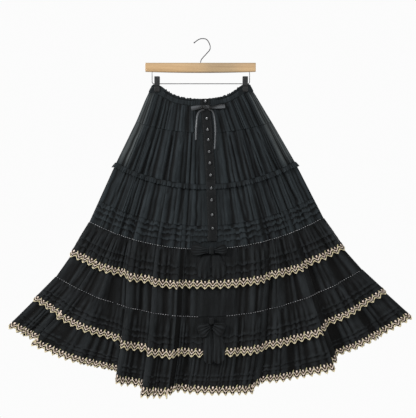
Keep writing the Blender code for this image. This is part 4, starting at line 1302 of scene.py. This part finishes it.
def satin():
    """Grey satin ribbon with painted shade, read from the root attribute: darker where it goes into the knot,
    on the knot itself and across part of each loop.
    """
    shine = {"Roughness": 0.34, "Sheen Weight": 0.5, "Sheen Roughness": 0.3}
    material, shader = new_material("grey satin", shine)
    threads = stretched_noise(material, cloth_place(material), (2600.0, 60.0, 1.0), 2.0)
    tone = ramp(material, threads, (0.3, (0.060, 0.065, 0.071)), (0.7, (0.120, 0.129, 0.139)))
    # Painted shade from the root attribute.
    root = ramp(material, attribute(material, "root"), (0.0, 1.0), (0.35, (0.60, 0.60, 0.61)), (0.9, 0.10))
    link(material, mixed(material, tone, root), shader.inputs["Base Color"])
    link(material, bump(material, threads, 0.0002, 0.3), shader.inputs["Normal"])
    return material


SATIN = satin()


def smooth_route(points, steps):
    """Points read from a smooth curve through a route's own points."""
    way = [Vector(point) for point in points]
    padded = [2 * way[0] - way[1], *way, 2 * way[-1] - way[-2]]
    result = []
    for number in range(len(way) - 1):
        a, b, c, d = padded[number : number + 4]
        for step in range(steps):
            t = step / steps
            curved = (2 * a - 5 * b + 4 * c - d) * t * t + (3 * b - a - 3 * c + d) * t ** 3
            result.append(0.5 * (2 * b + (c - a) * t + curved))
    return [*result, way[-1]]


def build_ribbon_tails():
    for name, (width, route) in RIBBON_TAILS.items():
        path = smooth_route(route, 6)
        points = np.array(path)
        lengths = travelled(points)
        length = float(lengths[-1])
        start = 0.4 if name == "left" else 2.0

        def form(share, down):
            reach = down * length
            way = along_line(reach + 0.002, lengths, points) - along_line(reach - 0.002, lengths, points)
            way /= np.linalg.norm(way, axis=1)[:, None]
            beside = np.stack([-way[:, 2], 0 * way[:, 0], way[:, 0]], -1)
            twist = 0.45 * np.sin(2.6 * math.pi * down + start) * smooth(down / 0.2)
            across = (share - 0.5) * width
            spot = along_line(reach, lengths, points) + beside * (across * np.cos(twist))[:, None]
            spot[:, 1] += across * np.sin(twist) - 0.0006 * (1 - (2 * share - 1) ** 2)
            spot[:, 2] += np.where(down > 0.97, (share - 0.5) * 0.003, 0.0)
            # The root attribute is painted shade where the tail comes out from under the knot.
            return spot, {"painted_backlight": 0.0, "root": 0.95 * np.exp(-((down / 0.17) ** 2))}

        tail = thicken(cloth_grid(f"ribbon_tail_{name}_satin", 6, 90, form, FRONT, length, width), TAIL_DEPTH)
        finish_piece(tail, SATIN, "satin_ribbon", f"ribbon_tail_{name}")


def loop_form(root, tip, width, backs, depth, creases_in, seed, root_share, fading, rounded):
    """A band from a knot to its tip and back, gathered where it enters the knot."""
    start, end = np.array([root[0], 0.0, root[1]]), np.array([tip[0], 0.0, tip[1]])
    reach = end - start
    along = reach / np.linalg.norm(reach)
    beside = np.array([-along[2], 0.0, along[0]]) * (width / 2)

    def form(share, down):
        turn = 2 * math.pi * down
        out = (1 - np.cos(turn)) / 2
        swell = np.sin(turn) * np.sin(math.pi * (0.12 + 0.76 * out)) * 1.02
        back_y = backs[0] + (backs[1] - backs[0]) * out
        wave = np.cos(2 * math.pi * (share * 3.5 + 0.15 * np.sin(5 * share + seed)))
        gathered = creases_in * wave * (1 - out) ** fading
        crown = 1 - 0.25 * (2 * share - 1) ** 2
        y = back_y - depth / 2 + (swell * crown) * (depth / 2) - gathered * np.sign(np.sin(turn))
        spread = root_share + (1 - root_share) * smooth(out * 1.25) - 0.22 * rounded * out ** 5
        across = 2 * share - 1
        reached = out - 0.10 * rounded * out ** 3 * across ** 2
        spot = start + reach * reached[:, None] + beside * (spread * across)[:, None]
        spot[:, 1] = y
        # Painted shade for the satin: dark where the band goes into the knot, across the half of its width
        # where across is positive, and at both edges.
        knot_shade = 0.04 + 0.95 * np.exp(-((out / 0.30) ** 2))
        underside_shade = 0.78 * smooth(1.6 * across + 0.3) * (1.1 - 0.6 * out)
        root = knot_shade + underside_shade + 0.25 * np.abs(across) ** 5
        return spot, {"painted_backlight": 0.0, "root": np.clip(root, 0, 1)}

    return form


def build_loop(
    name, root, tip, width, backs, depth, crease, seed, material, slot, node, columns=22, rows=56,
    root_share=0.45, fading=0.7, rounded=1.0,
):
    """A loop of a bow and its flat size: fading says how fast its gathers flatten towards the tip."""
    form = loop_form(root, tip, width, backs, depth, crease, seed, root_share, fading, rounded)
    length = 2.1 * math.hypot(tip[0] - root[0], tip[1] - root[1])
    loop = thicken(closed(cloth_grid(name, columns, rows, form, FRONT, length, width), 1e-5), LOOP_DEPTH)
    return finish_piece(loop, material, slot, node), (width * 0.9, length)


def build_knot(name, node, material, slot, folds, seed):
    """A soft knot: a rounded block crossed by the folds of the band that is tied round it."""
    low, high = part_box(node)
    middle, half = (low + high) / 2, (high - low) / 2
    bm = bmesh.new()
    bmesh.ops.create_uvsphere(bm, u_segments=40, v_segments=28, radius=1.0)
    shades = []
    for vertex in bm.verts:
        x, y, z = vertex.co
        # Painted shade for the satin: most of the knot is darkened almost to black, less along a diagonal
        # band where the tied band crosses it.
        shades.append(0.92 - 0.50 * math.exp(-(((0.8 * x + 0.7 * z - 0.25) / 0.17) ** 2)))
        squared = [math.copysign(abs(value) ** 0.62, value) for value in (x, y, z)]
        pinch = 1 - 0.16 * math.exp(-((z / 0.5) ** 2)) + 0.07 * math.cos(folds * math.pi * x + seed)
        vertex.co = (
            middle.x + half.x * squared[0] * (0.94 + 0.06 * abs(z)),
            middle.y + half.y * squared[1] * min(pinch, 1.0),
            middle.z + half.z * squared[2] * (0.97 - 0.05 * math.cos(folds * x)),
        )
    thing = mesh_object(name, bm)
    uv = thing.data.uv_layers.new(name="cloth").data
    for corner in thing.data.loops:
        spot = thing.data.vertices[corner.vertex_index].co
        uv[corner.index].uv = (spot.x, spot.z)
    write_attribute(thing.data, "root", shades)
    write_attribute(thing.data, "ridge", 0.5)
    return finish_piece(thing, material, slot, node)


def build_ribbon_bow():
    low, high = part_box("ribbon_knot")
    knot = build_knot("ribbon_knot_satin", "ribbon_knot", SATIN, "satin_ribbon", 2.5, 0.4)
    for name, tip in RIBBON_LOOP_TIPS.items():
        way = -1 if name == "left" else 1
        root = ((low.x + high.x) / 2 + way * (high.x - low.x) / 2 * 0.80, RIBBON_ROOT_HEIGHTS[name])
        front, back = (corner.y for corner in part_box(f"ribbon_loop_{name}"))
        loop, flat = build_loop(
            f"ribbon_loop_{name}_satin", root, tip, RIBBON_WIDTHS[name], (back, back), back - front, 0.0012,
            1.3 * way, SATIN, "satin_ribbon", f"ribbon_loop_{name}", 12, 48, 0.50, 0.6, 0.15,
        )


build_ribbon_tails()
build_ribbon_bow()


# Bows of the skirt's own cloth

# Each loop's root and tip, and each tail's corners: top left, top right, foot left and foot right
BOWS = {
    "bow_upper": {
        "loops": {
            "left": ((0.0198, -0.667), (-0.034, -0.664)),
            "right": ((0.0400, -0.667), (0.078, -0.661)),
        },
        "loop_width": 0.034,
        "tails": {
            "left": ((0.004, -0.6796), (0.0285, -0.6796), (-0.017, -0.752), (0.026, -0.756)),
            "right": ((0.0305, -0.6796), (0.055, -0.6796), (0.031, -0.757), (0.074, -0.750)),
        },
    },
    "bow_lower": {
        "loops": {
            "left": ((0.0240, -0.9020), (-0.011, -0.9200)),
            "right": ((0.0360, -0.9010), (0.069, -0.9170)),
        },
        "loop_width": 0.048,
        "tails": {
            "left": ((0.016, -0.8976), (0.0292, -0.8976), (0.003, -1.014), (0.0375, -1.021)),
            "right": ((0.0308, -0.8976), (0.045, -0.8976), (0.0355, -1.020), (0.072, -1.013)),
        },
    },
}
BOW_DEPTH = 0.011
BOW_LIFT = 0.0036


def ruffle_front_y(letter, x, z):
    """The middle of a free ruffle near the middle of the front."""
    _, top, hem, _, stand_off, _ = RUFFLES[letter]
    share = np.clip((middle_level(z) - top) / (hem - top), 0, 1)
    return front_y(x, z) - LAP - share * stand_off


# How far in front of its ruffle a bow's tail lies, how far it puffs out and how much its foot is rounded
TAIL_LIFT, TAIL_PUFF, TAIL_ROUNDING = 0.0014, 0.0085, 0.016


def tail_form(letter, corners, seed):
    """A lobe of cloth that hangs from the knot, with a rounded foot and soft folds down it."""
    top_left, top_right, foot_left, foot_right = (np.array(corner) for corner in corners)

    def form(share, down):
        across = 2 * share - 1
        widen = np.sin(math.pi / 2 * np.clip(down * 1.5, 0, 1))[:, None]
        left = top_left * (1 - widen) + foot_left * widen
        right = top_right * (1 - widen) + foot_right * widen
        spot = left * (1 - share[:, None]) + right * share[:, None]
        line = (top_left + (foot_left - top_left) * down[:, None]) * (1 - share[:, None])
        line = line + (top_right + (foot_right - top_right) * down[:, None]) * share[:, None]
        x, z = spot[:, 0], line[:, 1]
        z = z + TAIL_ROUNDING * down ** 4 * np.abs(across) ** 3.2
        fold = 0.0016 * down * np.cos(2 * math.pi * (share * 2.6 + 0.1 * down + seed))
        fold = fold + 0.0010 * pleats(share, down, 7, round(seed * 10))
        puff = TAIL_PUFF * np.sin(math.pi * np.clip(down, 0, 1) ** 0.8) * (1 - across ** 2) ** 0.7
        y = ruffle_front_y(letter, x, z) - LAP - TAIL_LIFT - puff - fold * (0.3 + 0.7 * down)
        return np.stack([x, y, z], -1), {"painted_backlight": 0.0}

    return form


def build_bows():
    for letter, (name, bow) in zip("ab", BOWS.items()):
        knot = build_knot(f"{name}_knot_cloth", f"{name}_knot", COTTON_LOW, "black_cotton", 2.2, 0.9)
        for side_name, (root, tip) in bow["loops"].items():
            width = bow["loop_width"]
            backs = [
                float(ruffle_front_y(letter, np.array(x), np.array(z - width / 2))) - LAP - BOW_LIFT
                for x, z in (root, tip)
            ]
            loop, flat = build_loop(
                f"{name}_loop_{side_name}_cloth", root, tip, width, backs, BOW_DEPTH, 0.0022, len(side_name),
                COTTON_LOW, "black_cotton", f"{name}_loop_{side_name}",
            )
        for number, (side_name, corners) in enumerate(bow["tails"].items()):
            foot = math.dist(corners[2], corners[3])
            length = corners[0][1] - corners[2][1]
            form = tail_form(letter, corners, 0.3 + 0.4 * number)
            tail = thicken(cloth_grid(f"{name}_tail_{side_name}_cloth", 24, 48, form, FRONT, length, foot))
            finish_piece(tail, COTTON_LOW, "black_cotton", f"{name}_tail_{side_name}")


build_bows()


# Hanger

BAR_ENDS = (-0.179, 0.170)
BAR_TOP, BAR_FOOT = -0.0755, -0.1033
BAR_BOW = 0.0032
BAR_THICKNESS = 0.012
BAR_EDGE = 0.0018
BAR_CUTS = 47
HOOK_RADIUS = 0.0015
HOOK_ROUTE = (
    (-0.0262, -0.0130), (-0.0202, -0.0082), (-0.0101, -0.0012), (0.0, HOOK_RADIUS), (0.0130, -0.0004),
    (0.0212, -0.0098), (0.0262, -0.0240), (0.0243, -0.0341), (0.0161, -0.0442), (0.0060, -0.0553),
    (-0.0009, -0.0632), (-0.0041, -0.0705), (-0.0043, -0.0790), (-0.0043, -0.0900),
)
HOOK_BEAD = 0.6
WIRE_RADIUS = 0.00125
WIRE_ENDS = (-0.1577, 0.1504)
WIRE_ROD_Z, WIRE_CORNER, WIRE_TOP = -0.1412, 0.006, -0.0893


def wood():
    """Lacquered beech: grain along the bar, a darker patch right of its middle, painted shade along the foot
    of its long sides and a darker top edge.
    """
    shine = {"Roughness": 0.42, "Coat Weight": 0.08, "Coat Roughness": 0.4}
    material, shader = new_material("beech wood", shine)
    place = object_place(material)
    grain = stretched_noise(material, place, (7.0, 60.0, 420.0), 5.0, 0.6)
    bands = stretched_noise(material, place, (3.0, 20.0, 70.0))
    pores = stretched_noise(material, place, (160.0, 900.0, 1600.0), 2.0)
    tone = ramp(
        material, math_node(material, "MULTIPLY_ADD", grain, 0.6, bands),
        (0.55, (0.52, 0.328, 0.160)), (0.8, (0.66, 0.435, 0.222)), (1.0, (0.74, 0.508, 0.270)),
    )
    patch = ramp(
        material, between(material, place, "X", *BAR_ENDS), (0.30, 1.0), (0.50, (0.88, 0.90, 0.93)),
        (0.60, (0.72, 0.76, 0.82)), (0.76, (0.74, 0.78, 0.84)), (0.90, (0.92, 0.92, 0.94)),
    )
    # Painted shade along the bar's foot, where its rounded underside turns from the light, and a darker top
    # edge.
    edge = ramp(
        material, between(material, place, "Z", BAR_FOOT - BAR_BOW, BAR_TOP), (0.0, (0.50, 0.50, 0.52)),
        (0.12, 0.80), (0.24, 1.0), (0.72, 1.0), (0.96, (0.74, 0.72, 0.68)),
    )
    link(material, mixed(material, mixed(material, tone, patch), edge), shader.inputs["Base Color"])
    rough = bump(material, grain, 0.0004, 0.25)
    link(material, bump(material, pores, 0.0002, 0.2, rough), shader.inputs["Normal"])
    return material


def metal(name, dark, light, metallic, roughness, darker_below=None):
    """Fine speckle in its tone and a slightly uneven surface, darker below a height if one is given."""
    material, shader = new_material(name, {"Metallic": metallic, "Roughness": roughness})
    place = object_place(material)
    speckle = noise(material, place, 900.0, 4.0, 0.7)
    wear = noise(material, place, 90.0)
    tone = ramp(material, math_node(material, "MULTIPLY", speckle, wear), (0.15, dark), (0.40, light))
    if darker_below is not None:
        up = between(material, place, "Z", darker_below, darker_below + 0.006)
        tone = mixed(material, tone, ramp(material, up, (0.0, 0.36), (1.0, 1.0)))
    link(material, tone, shader.inputs["Base Color"])
    link(material, bump(material, speckle, 0.0001, 0.3), shader.inputs["Normal"])
    return material


def build_bar():
    bm = bmesh.new()
    bmesh.ops.create_cube(bm, size=1.0)
    long_edges = [edge for edge in bm.edges if abs(edge.verts[0].co.x - edge.verts[1].co.x) > 0.5]
    bmesh.ops.subdivide_edges(bm, edges=long_edges, cuts=BAR_CUTS, use_grid_fill=True)
    rim = [edge for edge in bm.edges if len(edge.link_faces) == 2 and edge.calc_face_angle() > 1.0]
    for vertex in bm.verts:
        low = BAR_FOOT - BAR_BOW * (1 - (2 * vertex.co.x) ** 2)
        vertex.co.x = (BAR_ENDS[0] + BAR_ENDS[1]) / 2 + vertex.co.x * (BAR_ENDS[1] - BAR_ENDS[0])
        vertex.co.y *= BAR_THICKNESS
        vertex.co.z = BAR_TOP if vertex.co.z > 0 else low
    bmesh.ops.bevel(
        bm, geom=rim, offset=BAR_EDGE, offset_type="OFFSET", segments=4, profile=0.5, affect="EDGES",
        material=-1,
    )
    bmesh.ops.recalc_face_normals(bm, faces=bm.faces)
    finish_piece(mesh_object("hanger_bar_wood", bm), wood(), "beech_wood", "hanger_bar")


def build_tube(name, route, radius, rows, bead):
    """A round wire along a flat route in the XZ plane, with rounded ends and a bead at its start."""
    points = np.array(route)
    lengths = travelled(points)

    def form(share, down):
        reach = lengths[-1] * down
        x, z = along_line(reach, lengths, points).T
        before, after = np.clip(reach - 0.0008, 0, None), np.clip(reach + 0.0008, None, lengths[-1])
        way_x, way_z = (along_line(after, lengths, points) - along_line(before, lengths, points)).T
        size = np.hypot(way_x, way_z)
        thick = radius * (1 + bead * smooth((0.0048 - reach) / 0.0016))
        from_end = np.clip(np.minimum(reach, lengths[-1] - reach) / thick, 0, 1)
        thick = thick * np.sqrt(1 - (1 - from_end) ** 2)
        angle = 2 * math.pi * share
        across = thick * np.cos(angle)
        return np.stack([x - way_z / size * across, thick * np.sin(angle), z + way_x / size * across], -1), {}

    return closed(cloth_grid(name, 12, rows, form, FRONT, float(lengths[-1]), 2 * math.pi * radius))


def wire_route():
    """From the bar down its left end, round a corner along the rod, round another and up its right end."""
    left, right = WIRE_ENDS
    route = [(left, WIRE_TOP)]
    for middle, start in ((left + WIRE_CORNER, math.pi), (right - WIRE_CORNER, 1.5 * math.pi)):
        for step in range(13):
            angle = start + step * math.pi / 24
            z = WIRE_ROD_Z + WIRE_CORNER + WIRE_CORNER * math.sin(angle)
            route.append((middle + WIRE_CORNER * math.cos(angle), z))
    return [*route, (right, WIRE_TOP)]


# A clip's outer face: height and distance out
CLIP_PROFILE = (
    (-0.1675, 0.0), (-0.1660, 0.0003), (-0.1560, 0.0), (-0.1500, -0.0008), (-0.1455, -0.0002),
    (-0.1330, 0.0006), (-0.1215, 0.0008), (-0.1185, 0.0),
)
CLIP_WIDTH = 0.0168
CLIP_PLATE = 0.0013
CLIP_CORNER = 0.0022
CLIP_TOP, CLIP_FOOT = -0.1185, -0.1675
CLIP_PAD_TOP, CLIP_PAD_FOOT = -0.1520, -0.1670
CLIP_NECK, CLIP_RIB_TOP = -0.1455, -0.1215
CLIP_NECK_Y, CLIP_RIB_Y, CLIP_TOP_Y = 0.0080, 0.0080, 0.0074
RIB_PITCH = 0.0026
RIB_HEIGHTS = (-0.1345, -0.1212)
PAD_INSET, PAD_LIFT = 0.0008, 0.0013
SPRING_RADIUS = 0.0034
SPRING_LENGTH = 0.0150


def clip_plate(name, x, outer, way, top, foot, narrower, lift, rows):
    """One side of a clip: a rounded plate that follows the clip's own profile, ribbed where fingers press."""
    heights = (foot, CLIP_PAD_TOP, CLIP_NECK, CLIP_RIB_TOP, top)
    depths = (outer, outer, CLIP_NECK_Y, CLIP_RIB_Y, CLIP_TOP_Y)

    def form(share, down):
        z = top + (foot - top) * down
        across = 2 * share - 1
        corner = np.clip((CLIP_CORNER - np.minimum(top - z, z - foot)) / CLIP_CORNER, 0, 1)
        half = (CLIP_WIDTH / 2 - narrower) * (1 - 0.16 * (1 - np.sqrt(1 - corner ** 2)))
        neck = 1 - 0.07 * np.exp(-(((z - CLIP_NECK) / 0.006) ** 2))
        ribbed = (z > RIB_HEIGHTS[0]) & (z < RIB_HEIGHTS[1])
        ribs = 0.0004 * np.clip(np.sin(2 * math.pi * (z - CLIP_RIB_TOP) / RIB_PITCH), 0, 1) * ribbed
        crown = 0.0007 * (1 - across ** 2)
        bulge = np.interp(z, *zip(*CLIP_PROFILE)) * 0.3
        y = np.interp(z, heights, depths) - CLIP_PLATE / 2 - 0.0007 + crown + ribs + bulge - lift
        return np.stack([x + across * half * neck, way * y, z], -1), {}

    plate = cloth_grid(name, 14, rows, form, FRONT if way < 0 else BACK, top - foot, CLIP_WIDTH)
    return thicken(plate, CLIP_PLATE)


def build_clips():
    coated = metal("dark coated clip", (0.010, 0.0105, 0.011), (0.036, 0.037, 0.039), 0.2, 0.50, -0.153)
    rubber = metal("black rubber pad", (0.006, 0.006, 0.006), (0.014, 0.014, 0.014), 0.0, 0.8)
    for side_name, x in CLIP_X.items():
        _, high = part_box(f"clip_{side_name}")
        for way, word in ((-1, "front"), (1, "back")):
            name = f"clip_{side_name}_{word}"
            plate = clip_plate(f"{name}_plate", x, high.y, way, CLIP_TOP, CLIP_FOOT, 0.0, 0.0, 60)
            finish_piece(plate, coated, "clip_black", *([f"clip_{side_name}"] if way < 0 else []))
            pad_sizes = (CLIP_PAD_TOP, CLIP_PAD_FOOT, PAD_INSET, PAD_LIFT, 10)
            pad = clip_plate(f"{name}_pad", x, high.y, way, *pad_sizes)
            finish_piece(pad, rubber, "clip_black")

        def spring_form(share, down):
            angle = 2 * math.pi * share
            coil = 0.0005 * np.abs(np.sin(math.pi * 9 * down))
            rim = np.sqrt(np.clip(np.minimum(down, 1 - down) / 0.02, 0, 1))
            thick = (SPRING_RADIUS + coil) * rim
            along, y, z = (down - 0.5) * SPRING_LENGTH, thick * np.cos(angle), thick * np.sin(angle)
            return np.stack([x + along, y, WIRE_ROD_Z + z], -1), {}

        spring = cloth_grid(f"clip_{side_name}_spring", 14, 56, spring_form, FRONT, SPRING_LENGTH, 0.02)
        finish_piece(closed(spring), STEEL, "clip_black")


def build_wires():
    hook = [(point.x, point.z) for point in smooth_route([(x, 0, z) for x, z in HOOK_ROUTE], 8)]
    wires = (
        ("hanger_hook", "hanger_hook_wire", hook, HOOK_RADIUS, 170, HOOK_BEAD),
        ("hanger_wire", "hanger_drop_wire", wire_route(), WIRE_RADIUS, 260, 0.0),
    )
    for node, name, route, radius, rows, bead in wires:
        finish_piece(build_tube(name, route, radius, rows, bead), STEEL, "steel_wire", node)


STEEL = metal("plated steel wire", (0.08, 0.08, 0.083), (0.26, 0.26, 0.27), 0.9, 0.34)
build_bar()
build_wires()
build_clips()
